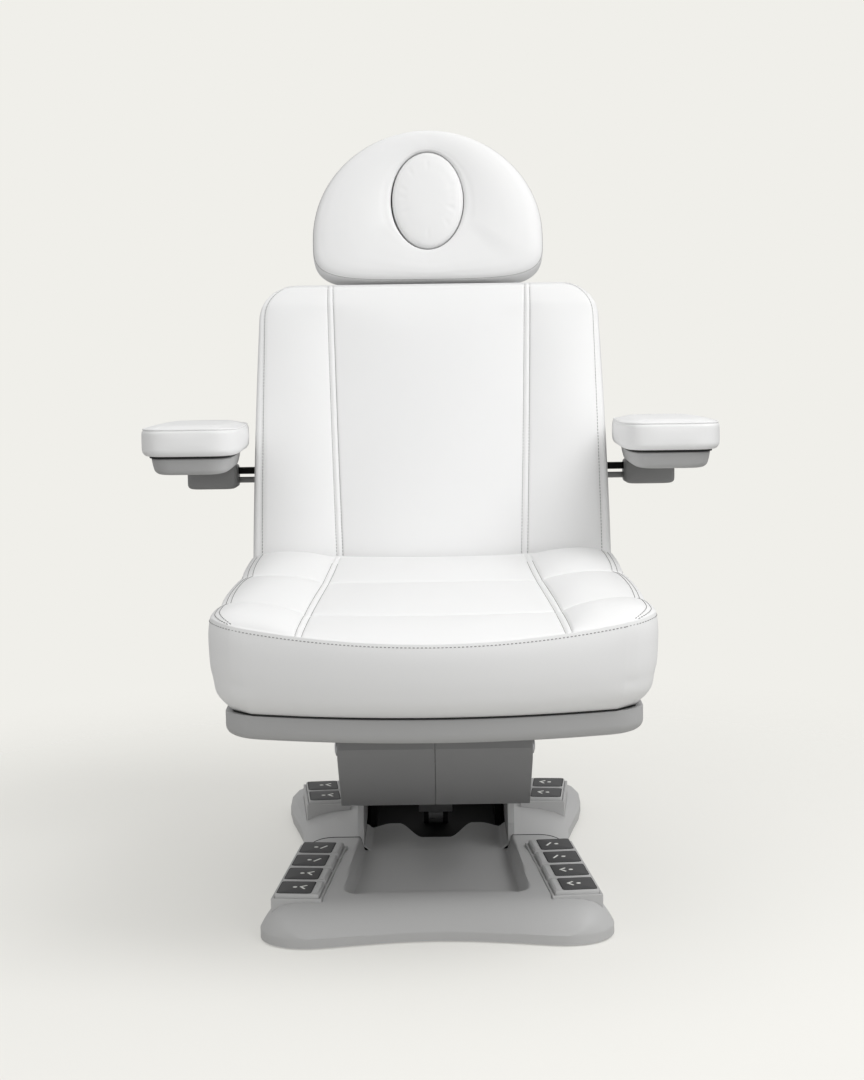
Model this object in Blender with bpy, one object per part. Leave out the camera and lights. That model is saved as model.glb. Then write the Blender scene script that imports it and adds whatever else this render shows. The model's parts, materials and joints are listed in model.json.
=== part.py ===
"""Electric beauty treatment chair: padded seat, backrest, headrest and armrests on a lifting base.

Metres, +Z up, -Y is the front. The origin lies on the floor below the middle of the base.
Every piece is one object. Empties mark the joints, and each moving piece hangs on its joint's empty.
"""

import math

import bmesh
import bpy
from mathutils import Matrix, Vector

# Running and assembly gaps
CLEAR = 0.0003
SLIDE_CLEAR = 0.0005

# Base: hourglass footprint on four feet
FOOT_HEIGHT = 0.008
FOOT_RADIUS = 0.022
FOOT_EDGE = 0.055
PLATE_THICK = 0.008
BASE_FRONT_Y = -0.445
BASE_REAR_Y = 0.395
BASE_FRONT_HALF = 0.262
BASE_WAIST_HALF = 0.217
BASE_WAIST_Y = 0.040
BASE_REAR_HALF = 0.254
BASE_FLARE_Y = 0.310
BASE_CORNER = 0.045
BASE_FRONT_HOLLOW = 0.024
COVER_BOTTOM = 0.006
COVER_RIM = 0.022
COVER_TOP = 0.050
COVER_SHOULDER = 0.085
COVER_WALL = 0.004
COVER_SEAM_Y = -0.035

# Trough in the front cover
TROUGH_FRONT_Y = -0.342
TROUGH_FRONT_HALF = 0.131
TROUGH_REAR_HALF = 0.107
TROUGH_FLOOR = 0.028

# Cheeks of the rear cover around the lift arm
CHEEK_INNER = 0.116
CHEEK_WALL = 0.010
CHEEK_TOP = 0.200
CHEEK_REAR_Y = 0.362
INLET_HALF = 0.024
INLET_DEPTH = 0.008
INLET_Z = 0.095

# Foot control: pods with keys
POD_WIDTH = 0.074
POD_WALL = 0.004
POD_BOTTOM = 0.030
POD_TOP = 0.060
POD_SPLAY = math.radians(5.3)
FRONT_POD_X = 0.190
FRONT_POD_Y = -0.2635
FRONT_KEY_COUNT = 4
REAR_POD_X = 0.187
REAR_POD_Y = 0.218
REAR_KEY_COUNT = 2
KEY_PITCH = 0.0735
KEY_GAP = 0.006
KEY_PROUD = 0.006
KEY_THICK = 0.015
KEY_TRAVEL = 0.004

# Lift: two parallel arms from the base to the carriage
LIFT_REAR_Y = 0.250
LIFT_REAR_Z = 0.120
LIFT_LENGTH = 0.567
PIVOT_DROP = 0.06953
LINK_STEP = 0.055
LINK_LEAN = math.radians(32.0)
ARM_INNER = 0.082
ARM_PLATE = 0.012
ARM_HEIGHT = 0.044
ARM_TUBE_RADIUS = 0.014
LINK_INNER = 0.058
LINK_PLATE = 0.008
LINK_HEIGHT = 0.028
LINK_TUBE_RADIUS = 0.010
ARM_AXLE_RADIUS = 0.010
LINK_AXLE_RADIUS = 0.008
UPRIGHT_INNER = 0.100
UPRIGHT_PLATE = 0.010

# Lift actuator
ACTUATOR_Y = 0.186
ACTUATOR_Z = 0.036
ACTUATOR_REACH = 0.203
ACTUATOR_TUBE_RADIUS = 0.015
ACTUATOR_ROD_RADIUS = 0.009
ACTUATOR_PIN_RADIUS = 0.006
ACTUATOR_EYE_RADIUS = 0.018
ACTUATOR_EYE_HALF = 0.012
OPEN_PIVOT_CLEAR = 0.0045

# Shroud on the front of the arm
SHROUD_HALF = 0.143
SHROUD_WALL = 0.004
CAP_RADIUS = 0.010
CAP_THICK = 0.005

# Carriage below the seat
BEAM_INNER = 0.038
BEAM_PLATE = 0.014
LUG_RADIUS = 0.018
TILT_Y = 0.100
TILT_DROP = 0.015
TILT_AXLE_RADIUS = 0.009
JACK_SETBACK = 0.10016
JACK_LENGTH = 0.066
JACK_HALF = 0.030
JACK_BOTTOM = 0.216
JACK_ROD_RADIUS = 0.010

# Seat
PAN_BOTTOM = 0.3267
PAN_TOP = 0.357
PAN_HALF = 0.2905
PAN_WALL = 0.004
PAN_REAR_Y = 0.048
PAN_INSET = 0.030
RAIL_OUTER = 0.235
RAIL_WIDTH = 0.024
RAIL_HEIGHT = 0.025
SEAT_FRONT_HALF = 0.307
SEAT_REAR_HALF = 0.288
SEAT_FRONT_Y = -0.610
SEAT_BOW = 0.062
SEAT_REAR_Y = 0.060
SEAT_TOP = 0.479
SEAT_CROWN = 0.010
SEAT_BOLSTER = 0.012
SEAT_FRONT_DIP = 0.013
SEAT_CORNER = 0.045
SEAT_PANEL = 0.174
SEAT_PANEL_FLARE = 0.018
SEAT_CREASES = (-0.460, -0.165)
SEAT_REAR_LEAN = 0.014

# Backrest, in its own frame: z along the back from the hinge, y to the rear
HINGE_Y = 0.160
HINGE_Z = 0.385
BACK_LEAN = math.radians(18.0)
BACK_THICK = 0.092
BACK_CROWN = 0.006
BACK_HALF = 0.2925
BACK_TOP_HALF = 0.281
BACK_TOP = 0.545
BACK_CORNER = 0.060
BACK_FOOT_FRONT = -0.034
BACK_FOOT_REAR = 0.036
BACK_PANEL = 0.1595
BACK_PANEL_FLARE = 0.025
BOARD_THICK = 0.018
BOARD_MARGIN = 0.030
SHELL_DEPTH = 0.040
SHELL_WALL = 0.004
SHELL_MARGIN = 0.012
SHELL_FOOT = 0.062
SHAFT_RADIUS = 0.009
KNUCKLE_RADIUS = 0.020
KNUCKLE_WIDTH = 0.022
STRAP_THICK = 0.008
GEAR_RADIUS = 0.022

# Headrest, in the backrest's frame
POST_X = 0.070
POST_Y = 0.031
POST_RADIUS = 0.008
POST_DEPTH = 0.145
SLEEVE_RADIUS = 0.012
SLEEVE_DEPTH = 0.170
HEAD_GAP = 0.0085
HEAD_AXIS_RISE = 0.0915
HEAD_HEIGHT = 0.272
HEAD_WIDEST = 0.075
HEAD_HALF = 0.195
HEAD_THICK = 0.085
HEAD_BOARD_THICK = 0.010
HEAD_KNUCKLE = 0.014
HOLE_HALF = 0.062
HOLE_HEIGHT = 0.168
HOLE_RISE = 0.1405
PLUG_REAR = 0.018

# Armrests
ARM_PIVOT_Y = 0.0125
ARM_PIVOT_Z = 0.248
ARM_PIN_RADIUS = 0.006
ARM_STOP_DROP = 0.016
ARM_STOP_RADIUS = 0.005
BRACKET_OUTER = 0.285
BRACKET_PLATE = 0.008
HUB_INNER = 0.318
HUB_WIDTH = 0.068
HUB_FRONT = 0.034
HUB_REAR = 0.030
HUB_BOTTOM = 0.584
PAD_BOTTOM = 0.647
PAD_TOP = 0.700
PAD_FRONT_Y = -0.140
PAD_REAR_Y = 0.290
PAD_INNER = 0.307
PAD_TOE_IN = 0.013
PAD_WIDTH = 0.156
PAD_SHELL_DEPTH = 0.017
PAD_RAISE = math.radians(3.2)

# Derived places
PLATE_BOTTOM = FOOT_HEIGHT + CLEAR
PLATE_TOP = PLATE_BOTTOM + PLATE_THICK
LIFT_REST = math.asin((PAN_BOTTOM - PIVOT_DROP - LIFT_REAR_Z) / LIFT_LENGTH)
ARM_AXIS = Vector((0, -math.cos(LIFT_REST), math.sin(LIFT_REST)))
LIFT_REAR = Vector((0, LIFT_REAR_Y, LIFT_REAR_Z))
LIFT_FRONT = LIFT_REAR + LIFT_LENGTH * ARM_AXIS
JACK_FRONT_Y = LIFT_FRONT.y + JACK_SETBACK
LINK_OFFSET = LINK_STEP * Vector((0, math.sin(LINK_LEAN), math.cos(LINK_LEAN)))
LINK_REAR = LIFT_REAR + LINK_OFFSET
LINK_FRONT = LIFT_FRONT + LINK_OFFSET
ACTUATOR_FOOT = Vector((0, ACTUATOR_Y, ACTUATOR_Z))
ACTUATOR_HEAD = LIFT_REAR + ACTUATOR_REACH * ARM_AXIS
TILT = Vector((0, TILT_Y, PAN_BOTTOM - TILT_DROP))
HINGE = Vector((0, HINGE_Y, HINGE_Z))
BACK_FRAME = Matrix.Translation(HINGE) @ Matrix.Rotation(-BACK_LEAN, 4, "X")
RAIL_BOTTOM = PAN_BOTTOM + PAN_WALL + SLIDE_CLEAR
RAIL_TOP = RAIL_BOTTOM + RAIL_HEIGHT
ARM_PIVOT = BACK_FRAME @ Vector((0, ARM_PIVOT_Y, ARM_PIVOT_Z))
KEY_WIDTH = POD_WIDTH - 2 * POD_WALL - 2 * SLIDE_CLEAR
KEY_LENGTH = KEY_PITCH - KEY_GAP
HEAD_BOTTOM = BACK_TOP + HEAD_GAP
HEAD_AXIS = HEAD_BOTTOM + HEAD_AXIS_RISE
HOLE_CENTRE = HEAD_BOTTOM + HOLE_RISE
POST_FOOT = BACK_TOP - POST_DEPTH
SLEEVE_FOOT = BACK_TOP - SLEEVE_DEPTH
HEAD_CENTRE = HEAD_BOTTOM + HEAD_WIDEST

MATERIALS = {
    "white_leather": ((0.87, 0.87, 0.86), 0.45, 0.0),
    "grey_plastic": ((0.34, 0.34, 0.35), 0.50, 0.0),
    "dark_plastic": ((0.09, 0.09, 0.10), 0.50, 0.0),
    "black_steel": ((0.03, 0.03, 0.03), 0.40, 0.6),
    "bright_steel": ((0.60, 0.60, 0.62), 0.25, 1.0),
    "rubber": ((0.02, 0.02, 0.02), 0.80, 0.0),
    "plywood": ((0.42, 0.30, 0.18), 0.70, 0.0),
}

bodies = {}


def clear_scene():
    for obj in list(bpy.data.objects):
        bpy.data.objects.remove(obj)


def material(name):
    """The named finish as a Principled material, made once."""
    if name in bpy.data.materials:
        return bpy.data.materials[name]
    colour, roughness, metallic = MATERIALS[name]
    made = bpy.data.materials.new(name)
    made.use_nodes = True
    shader = made.node_tree.nodes["Principled BSDF"]
    shader.inputs["Base Color"].default_value = (*colour, 1.0)
    shader.inputs["Roughness"].default_value = roughness
    shader.inputs["Metallic"].default_value = metallic
    return made


def body(name, matrix, parent=None):
    """An empty on a joint's axis, which carries the pieces that move with that joint."""
    empty = bpy.data.objects.new(f"{name}_joint", None)
    empty.empty_display_size = 0.03
    bpy.context.scene.collection.objects.link(empty)
    if parent:
        empty.parent = bodies[parent][0]
        empty.matrix_local = bodies[parent][1].inverted() @ matrix
    else:
        empty.matrix_local = matrix
    bodies[name] = (empty, matrix)


def shape(points, faces):
    """A closed mesh as a scene object, with its faces turned outwards."""
    mesh = bpy.data.meshes.new("shape")
    mesh.from_pydata([tuple(p) for p in points], [], faces)
    work = bmesh.new()
    work.from_mesh(mesh)
    bmesh.ops.recalc_face_normals(work, faces=work.faces)
    work.to_mesh(mesh)
    work.free()
    obj = bpy.data.objects.new("shape", mesh)
    bpy.context.scene.collection.objects.link(obj)
    return obj


def loft(rings, ring_closed=False):
    """Skin over loops of equally many points, capped at both ends or closed round on itself."""
    count = len(rings[0])
    points = [p for ring in rings for p in ring]
    spans = len(rings) if ring_closed else len(rings) - 1
    faces = []
    for i in range(spans):
        low = i * count
        high = ((i + 1) % len(rings)) * count
        for j in range(count):
            k = (j + 1) % count
            faces.append((low + j, low + k, high + k, high + j))
    if not ring_closed:
        faces.append(tuple(range(count)))
        faces.append(tuple(range(len(points) - count, len(points))))
    return shape(points, faces)


def prism_x(profile, x0, x1):
    """A (y, z) outline carried along X."""
    return loft([[(x, y, z) for y, z in profile] for x in (x0, x1)])


def prism_z(outline, z0, z1):
    """An (x, y) outline carried along Z."""
    return loft([[(x, y, z) for x, y in outline] for z in (z0, z1)])


def box(x0, x1, y0, y1, z0, z1):
    return prism_z([(x0, y0), (x1, y0), (x1, y1), (x0, y1)], z0, z1)


def circle(centre_a, centre_b, radius, count=20):
    turn = 2 * math.pi / count
    return [
        (centre_a + radius * math.cos(i * turn), centre_b + radius * math.sin(i * turn))
        for i in range(count)
    ]


def rod_x(y, z, radius, x0, x1, count=20):
    return prism_x(circle(y, z, radius, count), x0, x1)


def rod_z(x, y, radius, z0, z1, count=20):
    return prism_z(circle(x, y, radius, count), z0, z1)


def bar_between(start, end, half_width):
    """A round-ended (y, z) outline from one pivot to another."""
    along = math.atan2(end.z - start.z, end.y - start.y)
    outline = []
    for centre, turn in ((end, -math.pi / 2), (start, math.pi / 2)):
        for i in range(9):
            angle = along + turn + math.pi * i / 8
            outline.append((centre.y + half_width * math.cos(angle), centre.z + half_width * math.sin(angle)))
    return outline


def lug_profile(foot, y, z, radius):
    """A (y, z) outline that stands on a face at y = foot and rounds a pin at (y, z)."""
    turns = [math.pi * (i / 10 - 0.5) for i in range(11)]
    rounded = [(y + radius * math.cos(turn), z + radius * math.sin(turn)) for turn in turns]
    return [(foot, z - radius), *rounded, (foot, z + radius)]


def combine(target, tool, operation):
    """One Boolean step, kept in the target's mesh, after which the tool is gone."""
    step = target.modifiers.new("step", "BOOLEAN")
    step.operation = operation
    step.object = tool
    graph = bpy.context.evaluated_depsgraph_get()
    made = bpy.data.meshes.new_from_object(target.evaluated_get(graph))
    target.modifiers.remove(step)
    target.data = made
    bpy.data.objects.remove(tool)


def join(target, *tools):
    for tool in tools:
        combine(target, tool, "UNION")
    return target


def cut(target, *tools):
    for tool in tools:
        combine(target, tool, "DIFFERENCE")
    return target


def keep(target, tool):
    combine(target, tool, "INTERSECT")
    return target


def moved(obj, matrix):
    obj.data.transform(matrix)
    return obj


def bevelled(obj, width, segments=2, angle=40):
    step = obj.modifiers.new("edges", "BEVEL")
    step.width = width
    step.segments = segments
    step.limit_method = "ANGLE"
    step.angle_limit = math.radians(angle)
    return obj


def part(name, obj, finish, carrier, frame=None):
    """Names a piece and hangs it on its body's empty. Its points are in the world or in the given frame."""
    to_world = frame or Matrix.Identity(4)
    empty, place = bodies[carrier]
    obj.data.transform(place.inverted() @ to_world)
    obj.name = name
    obj.data.name = name
    obj.data.materials.clear()
    obj.data.materials.append(material(finish))
    obj.data.shade_smooth()
    obj.data.set_sharp_from_angle(angle=math.radians(35))
    obj.parent = empty
    return obj


def mirrored(points):
    return [(-x, y) for x, y in points]


# Base


def base_half(y):
    """Half the base's width at y: wide in front, drawn in at the waist, flared again at the rear."""
    if y < BASE_WAIST_Y:
        share = (BASE_WAIST_Y - y) / (BASE_WAIST_Y - BASE_FRONT_Y)
        return BASE_WAIST_HALF + (BASE_FRONT_HALF - BASE_WAIST_HALF) * share**1.5
    share = min((y - BASE_WAIST_Y) / (BASE_FLARE_Y - BASE_WAIST_Y), 1.0)
    return BASE_WAIST_HALF + (BASE_REAR_HALF - BASE_WAIST_HALF) * math.sin(share * math.pi / 2) ** 2


def base_outline(inset):
    """The footprint, anticlockwise from the front, drawn in by the inset on every side."""
    front_y, rear_y = BASE_FRONT_Y + inset, BASE_REAR_Y - inset
    corner = max(BASE_CORNER - inset / 2, BASE_CORNER / 3)
    turns = [math.pi / 2 * i / 5 for i in range(6)]
    side = []
    for turn in turns[::-1]:
        y = front_y + corner * (1 - math.sin(turn))
        side.append((base_half(y) - inset - corner * (1 - math.cos(turn)), y))
    first, last = front_y + corner, rear_y - corner
    for i in range(1, 12):
        y = first + (last - first) * i / 12
        side.append((base_half(y) - inset, y))
    for turn in turns:
        y = rear_y - corner * (1 - math.sin(turn))
        side.append((base_half(y) - inset - corner * (1 - math.cos(turn)), y))
    front_half = side[0][0]
    front = []
    for i in range(1, 10):
        x = front_half * (i / 5 - 1)
        front.append((x, front_y + BASE_FRONT_HOLLOW * (1 - (x / front_half) ** 2)))
    rear = [(side[-1][0] * (1 - i / 3), rear_y) for i in range(1, 6)]
    return front + side + rear + mirrored(side[::-1])


def base_solid(inset, drop, bottom):
    """The covers' outer form, or with an inset and a drop the hollow under them."""
    rise = COVER_TOP - COVER_RIM
    rings = []
    for share_in, share_up in ((0, None), (0, 0), (0.12, 0.40), (0.35, 0.72), (0.68, 0.93), (1, 1)):
        z = bottom if share_up is None else COVER_RIM + rise * share_up - drop
        rings.append([(x, y, z) for x, y in base_outline(inset + COVER_SHOULDER * share_in)])
    return loft(rings)


def trough_solid(grow):
    """The tapered trough whose floor falls towards the rear, grown by the wall for its tub."""
    rear_y = COVER_SEAM_Y + 0.05
    top = COVER_TOP + 0.02
    profile = [
        (TROUGH_FRONT_Y - grow, top),
        (TROUGH_FRONT_Y - grow, COVER_TOP - 0.002 - grow),
        (TROUGH_FRONT_Y + 0.12, TROUGH_FLOOR - grow),
        (rear_y, TROUGH_FLOOR - grow),
        (rear_y, top),
    ]
    reach = (rear_y - TROUGH_FRONT_Y) / (LIFT_REAR_Y - TROUGH_FRONT_Y)
    rear_half = TROUGH_FRONT_HALF + (TROUGH_REAR_HALF - TROUGH_FRONT_HALF) * reach
    solid = prism_x(profile, -0.3, 0.3)
    plan = [
        (-TROUGH_FRONT_HALF - grow, TROUGH_FRONT_Y - grow - 0.01),
        (TROUGH_FRONT_HALF + grow, TROUGH_FRONT_Y - grow - 0.01),
        (rear_half + grow, rear_y + 0.01),
        (-rear_half - grow, rear_y + 0.01),
    ]
    return keep(solid, prism_z(plan, 0, top + 0.01))


def pod_frame(side, x, y, splay):
    return Matrix.Translation((side * x, y, 0)) @ Matrix.Rotation(side * splay, 4, "Z")


def pod_length(keys):
    return keys * KEY_PITCH + POD_WALL


def pod_block(frame, keys, grow, bottom, top):
    half = POD_WIDTH / 2 + grow
    reach = pod_length(keys) / 2 + grow
    return moved(box(-half, half, -reach, reach, bottom, top), frame)


def pods():
    """(name, side, frame, key count) of the four pods."""
    found = []
    for side, word in ((-1, "left"), (1, "right")):
        front = pod_frame(side, FRONT_POD_X, FRONT_POD_Y, POD_SPLAY)
        rear = pod_frame(side, REAR_POD_X, REAR_POD_Y, -POD_SPLAY)
        found.append((f"front_{word}", side, front, FRONT_KEY_COUNT))
        found.append((f"rear_{word}", side, rear, REAR_KEY_COUNT))
    return found


def cover_blank(front):
    """Front or rear half of the hollow cover, with tubs left under the pods and the trough."""
    hollow = base_solid(COVER_WALL, COVER_WALL, COVER_BOTTOM - 0.01)
    cover = base_solid(0, 0, COVER_BOTTOM)
    seam = COVER_SEAM_Y - CLEAR / 2 if front else COVER_SEAM_Y + CLEAR / 2
    if front:
        region = box(-0.4, 0.4, BASE_FRONT_Y - 0.1, seam, -0.1, 0.3)
        cut(hollow, trough_solid(COVER_WALL))
    else:
        region = box(-0.4, 0.4, seam, BASE_REAR_Y + 0.1, -0.1, 0.3)
    keep(cover, region)
    wanted = [pod for pod in pods() if pod[0].startswith("front") == front]
    for _, _, frame, keys in wanted:
        cut(hollow, pod_block(frame, keys, COVER_WALL, POD_BOTTOM - COVER_WALL - CLEAR, 0.2))
    cut(cover, hollow)
    for _, _, frame, keys in wanted:
        cut(cover, pod_block(frame, keys, CLEAR, POD_BOTTOM - CLEAR, 0.2))
    return cover


def make_base():
    frame = prism_z(base_outline(COVER_WALL + CLEAR), PLATE_BOTTOM, PLATE_TOP)
    rear_rise = LINK_REAR.z + 0.026
    upright = [
        (LIFT_REAR_Y - 0.090, PLATE_TOP - 0.004),
        (LINK_REAR.y + 0.066, PLATE_TOP - 0.004),
        (LINK_REAR.y + 0.044, LINK_REAR.z + 0.004),
        (LINK_REAR.y + 0.024, rear_rise),
        (LINK_REAR.y - 0.018, rear_rise),
        (LIFT_REAR_Y - 0.034, LIFT_REAR_Z + 0.012),
    ]
    for side in (-1, 1):
        inner = side * UPRIGHT_INNER
        outer = side * (UPRIGHT_INNER + UPRIGHT_PLATE)
        join(frame, prism_x(upright, min(inner, outer), max(inner, outer)))
        ear = side * (ACTUATOR_EYE_HALF + CLEAR)
        ear_profile = bar_between(ACTUATOR_FOOT, ACTUATOR_FOOT - Vector((0, 0, 0.012)), 0.011)
        floor = box(-0.1, 0.1, 0, 0.4, PLATE_TOP - 0.004, 0.2)
        lug = keep(prism_x(ear_profile, min(ear, ear + side * 0.008), max(ear, ear + side * 0.008)), floor)
        join(frame, lug)
    pin_half = ACTUATOR_EYE_HALF + 0.006
    join(frame, rod_x(ACTUATOR_Y, ACTUATOR_Z, ACTUATOR_PIN_RADIUS, -pin_half, pin_half, 16))
    cut(frame, rod_x(LIFT_REAR_Y, LIFT_REAR_Z, ARM_AXLE_RADIUS + CLEAR, -0.2, 0.2))
    cut(frame, rod_x(LINK_REAR.y, LINK_REAR.z, LINK_AXLE_RADIUS + CLEAR, -0.2, 0.2))
    part("base_frame", frame, "black_steel", "base")

    axle_half = UPRIGHT_INNER + UPRIGHT_PLATE + 0.002
    axle = rod_x(LIFT_REAR_Y, LIFT_REAR_Z, ARM_AXLE_RADIUS, -axle_half, axle_half)
    part("lift_arm_rear_axle", axle, "bright_steel", "base")
    axle = rod_x(LINK_REAR.y, LINK_REAR.z, LINK_AXLE_RADIUS, -axle_half, axle_half)
    part("lift_link_rear_axle", axle, "bright_steel", "base")

    front = cut(cover_blank(True), trough_solid(0))
    part("base_front_cover", front, "grey_plastic", "base")
    make_rear_covers()
    make_feet()
    face = CHEEK_REAR_Y + CHEEK_WALL + CLEAR
    inlet = box(-INLET_HALF, INLET_HALF, face, face + INLET_DEPTH, INLET_Z - 0.016, INLET_Z + 0.016)
    cut(inlet, box(-0.014, 0.014, face + 0.002, face + 0.02, INLET_Z - 0.010, INLET_Z + 0.010))
    part("mains_inlet", inlet, "dark_plastic", "base")


def make_rear_covers():
    """Two handed halves that meet behind the arm and rise to a cheek on each side of it."""
    arch = [
        (COVER_SEAM_Y + CLEAR / 2, COVER_TOP - 0.02),
        (COVER_SEAM_Y + CLEAR / 2, COVER_TOP + 0.02),
        (COVER_SEAM_Y + 0.03, COVER_TOP + 0.085),
        (COVER_SEAM_Y + 0.10, CHEEK_TOP - 0.012),
        (COVER_SEAM_Y + 0.15, CHEEK_TOP),
        (CHEEK_REAR_Y - 0.05, CHEEK_TOP),
        (CHEEK_REAR_Y, CHEEK_TOP - 0.05),
        (CHEEK_REAR_Y, COVER_TOP - 0.02),
    ]
    for side, word in ((-1, "left"), (1, "right")):
        cover = cover_blank(False)
        cut(cover, box(-CHEEK_INNER, CHEEK_INNER, -0.2, CHEEK_REAR_Y, -0.1, 0.3))
        inner = side * CHEEK_INNER
        outer = side * (CHEEK_INNER + CHEEK_WALL)
        cheek = prism_x(arch, min(inner, outer), max(inner, outer))
        back = box(-CHEEK_INNER - CHEEK_WALL, CHEEK_INNER + CHEEK_WALL, CHEEK_REAR_Y, CHEEK_REAR_Y + CHEEK_WALL,
                   COVER_TOP - 0.02, CHEEK_TOP - 0.06)
        join(cheek, back)
        join(cover, cheek)
        near, far = side * CLEAR / 2, side * 0.4
        keep(cover, box(min(near, far), max(near, far), -0.5, 0.6, -0.1, 0.4))
        part(f"base_rear_cover_{word}", cover, "grey_plastic", "base")


def make_feet():
    rows = (("front", BASE_FRONT_Y + BASE_FRONT_HOLLOW + FOOT_EDGE), ("rear", BASE_REAR_Y - FOOT_EDGE))
    for word, y in rows:
        for side, hand in ((-1, "left"), (1, "right")):
            x = side * (base_half(y) - FOOT_EDGE)
            part(f"foot_{word}_{hand}", rod_z(x, y, FOOT_RADIUS, 0, FOOT_HEIGHT, 24), "rubber", "base")


def make_pods():
    """Housings with one well for each key, and the keys that dip into them."""
    floor = POD_TOP + KEY_PROUD - KEY_THICK - KEY_TRAVEL - 0.001
    for name, _, frame, keys in pods():
        housing = pod_block(Matrix.Identity(4), keys, 0, POD_BOTTOM, POD_TOP)
        for number in range(keys):
            middle = (number - (keys - 1) / 2) * KEY_PITCH
            half = KEY_WIDTH / 2 + SLIDE_CLEAR
            reach = KEY_LENGTH / 2 + SLIDE_CLEAR
            cut(housing, box(-half, half, middle - reach, middle + reach, floor, POD_TOP + 0.02))
        part(f"pedal_housing_{name}", moved(housing, frame), "grey_plastic", "base")
        for number in range(keys):
            middle = (number - (keys - 1) / 2) * KEY_PITCH
            make_key(f"{name}_{number + 1}", frame @ Matrix.Translation((0, middle, 0)))


def make_key(name, place):
    top = POD_TOP + KEY_PROUD
    half, reach = KEY_WIDTH / 2, KEY_LENGTH / 2
    key = bevelled(box(-half, half, -reach, reach, top - KEY_THICK, top), 0.003)
    body(f"key_{name}", place @ Matrix.Translation((0, 0, top)), "base")
    part(f"foot_key_{name}", key, "grey_plastic", f"key_{name}", place)


# Lift


def twin_arm(rear, front, inner, plate, height, axle_radius, tubes, tube_radius):
    """Two plates from pivot to pivot, joined by cross tubes at the given shares of the length."""
    profile = bar_between(rear, front, height / 2)
    arm = prism_x(profile, inner, inner + plate)
    lean = front - rear
    for share in tubes:
        at = rear + lean * share
        join(arm, rod_x(at.y, at.z, tube_radius, -inner - plate / 2, inner + plate / 2))
    join(arm, prism_x(profile, -inner - plate, -inner))
    for pivot in (rear, front):
        cut(arm, rod_x(pivot.y, pivot.z, axle_radius + CLEAR, -0.3, 0.3))
    return arm


def make_lift():
    share = ACTUATOR_REACH / LIFT_LENGTH
    arm = twin_arm(LIFT_REAR, LIFT_FRONT, ARM_INNER, ARM_PLATE, ARM_HEIGHT, ARM_AXLE_RADIUS, (0.63,), ARM_TUBE_RADIUS)
    at = LIFT_REAR + (LIFT_FRONT - LIFT_REAR) * share
    join(arm, rod_x(at.y, at.z, ACTUATOR_PIN_RADIUS, -ARM_INNER - ARM_PLATE / 2, ARM_INNER + ARM_PLATE / 2, 16))
    part("lift_arm", arm, "black_steel", "lift_arm")

    link = twin_arm(LINK_REAR, LINK_FRONT, LINK_INNER, LINK_PLATE, LINK_HEIGHT, LINK_AXLE_RADIUS, (0.5,),
                    LINK_TUBE_RADIUS)
    part("lift_link", link, "black_steel", "lift_link")

    reach = SHROUD_HALF + CLEAR
    axle = rod_x(LIFT_FRONT.y, LIFT_FRONT.z, ARM_AXLE_RADIUS, -reach - 0.001, reach + 0.001)
    for side in (-1, 1):
        face = side * reach
        rings = []
        for out, radius in ((0, CAP_RADIUS + 0.003), (0.6, CAP_RADIUS + 0.002), (1, CAP_RADIUS - 0.004)):
            x = face + side * CAP_THICK * out
            rings.append([(x, y, z) for y, z in circle(LIFT_FRONT.y, LIFT_FRONT.z, radius)])
        join(axle, loft(rings))
    part("lift_arm_front_axle", axle, "bright_steel", "lift_arm")

    half = BEAM_INNER + BEAM_PLATE + LINK_PLATE + 0.012
    axle = rod_x(LINK_FRONT.y, LINK_FRONT.z, LINK_AXLE_RADIUS, -half, half)
    part("lift_link_front_axle", axle, "bright_steel", "carriage")
    make_shroud()
    make_actuator()


def shroud_profile(inset):
    """Side view of the shroud, with its sloping front, from the front pivot's place."""
    y, z = LIFT_FRONT.y, LIFT_FRONT.z
    return [
        (y - 0.044 + inset, z + 0.048),
        (y - 0.055 + inset, z + 0.008),
        (y - 0.050 + inset, z - 0.008),
        (y + 0.062 + inset * 0.5, z - 0.104 + inset),
        (y + 0.170, z - 0.118 + inset),
        (y + 0.250, z - 0.100 + inset),
        (y + 0.250, z - 0.030),
        (y + 0.060, z + 0.036),
    ]


def make_shroud():
    for side, word in ((-1, "left"), (1, "right")):
        inner, outer = side * CLEAR / 2, side * SHROUD_HALF
        shroud = prism_x(shroud_profile(0), min(inner, outer), max(inner, outer))
        wall = side * (SHROUD_HALF - SHROUD_WALL)
        hollow = shroud_profile(SHROUD_WALL)
        hollow[0] = (hollow[0][0], hollow[0][1] + 0.05)
        hollow[-1] = (hollow[-1][0], hollow[-1][1] + 0.05)
        hollow[-2] = (hollow[-2][0] + 0.05, hollow[-2][1] + 0.05)
        hollow[-3] = (hollow[-3][0] + 0.05, hollow[-3][1])
        cut(shroud, prism_x(hollow, min(-side * 0.01, wall), max(-side * 0.01, wall)))
        rib_in = side * (ARM_INNER + ARM_PLATE + CLEAR)
        rib_out = side * (SHROUD_HALF - SHROUD_WALL / 2)
        middle = LIFT_FRONT + (LIFT_REAR - LIFT_FRONT) * 0.22
        rib = box(min(rib_in, rib_out), max(rib_in, rib_out), middle.y - 0.012, middle.y + 0.012,
                  middle.z - 0.014, middle.z + 0.014)
        join(shroud, rib)
        cut(shroud, rod_x(LIFT_FRONT.y, LIFT_FRONT.z, ARM_AXLE_RADIUS + CLEAR, -0.3, 0.3))
        gap_front = LIFT_FRONT.y + 0.165
        cut(shroud, box(-0.03, 0.03, gap_front, gap_front + 0.2, 0, LIFT_FRONT.z))
        part(f"arm_shroud_{word}", shroud, "dark_plastic", "lift_arm")


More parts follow.
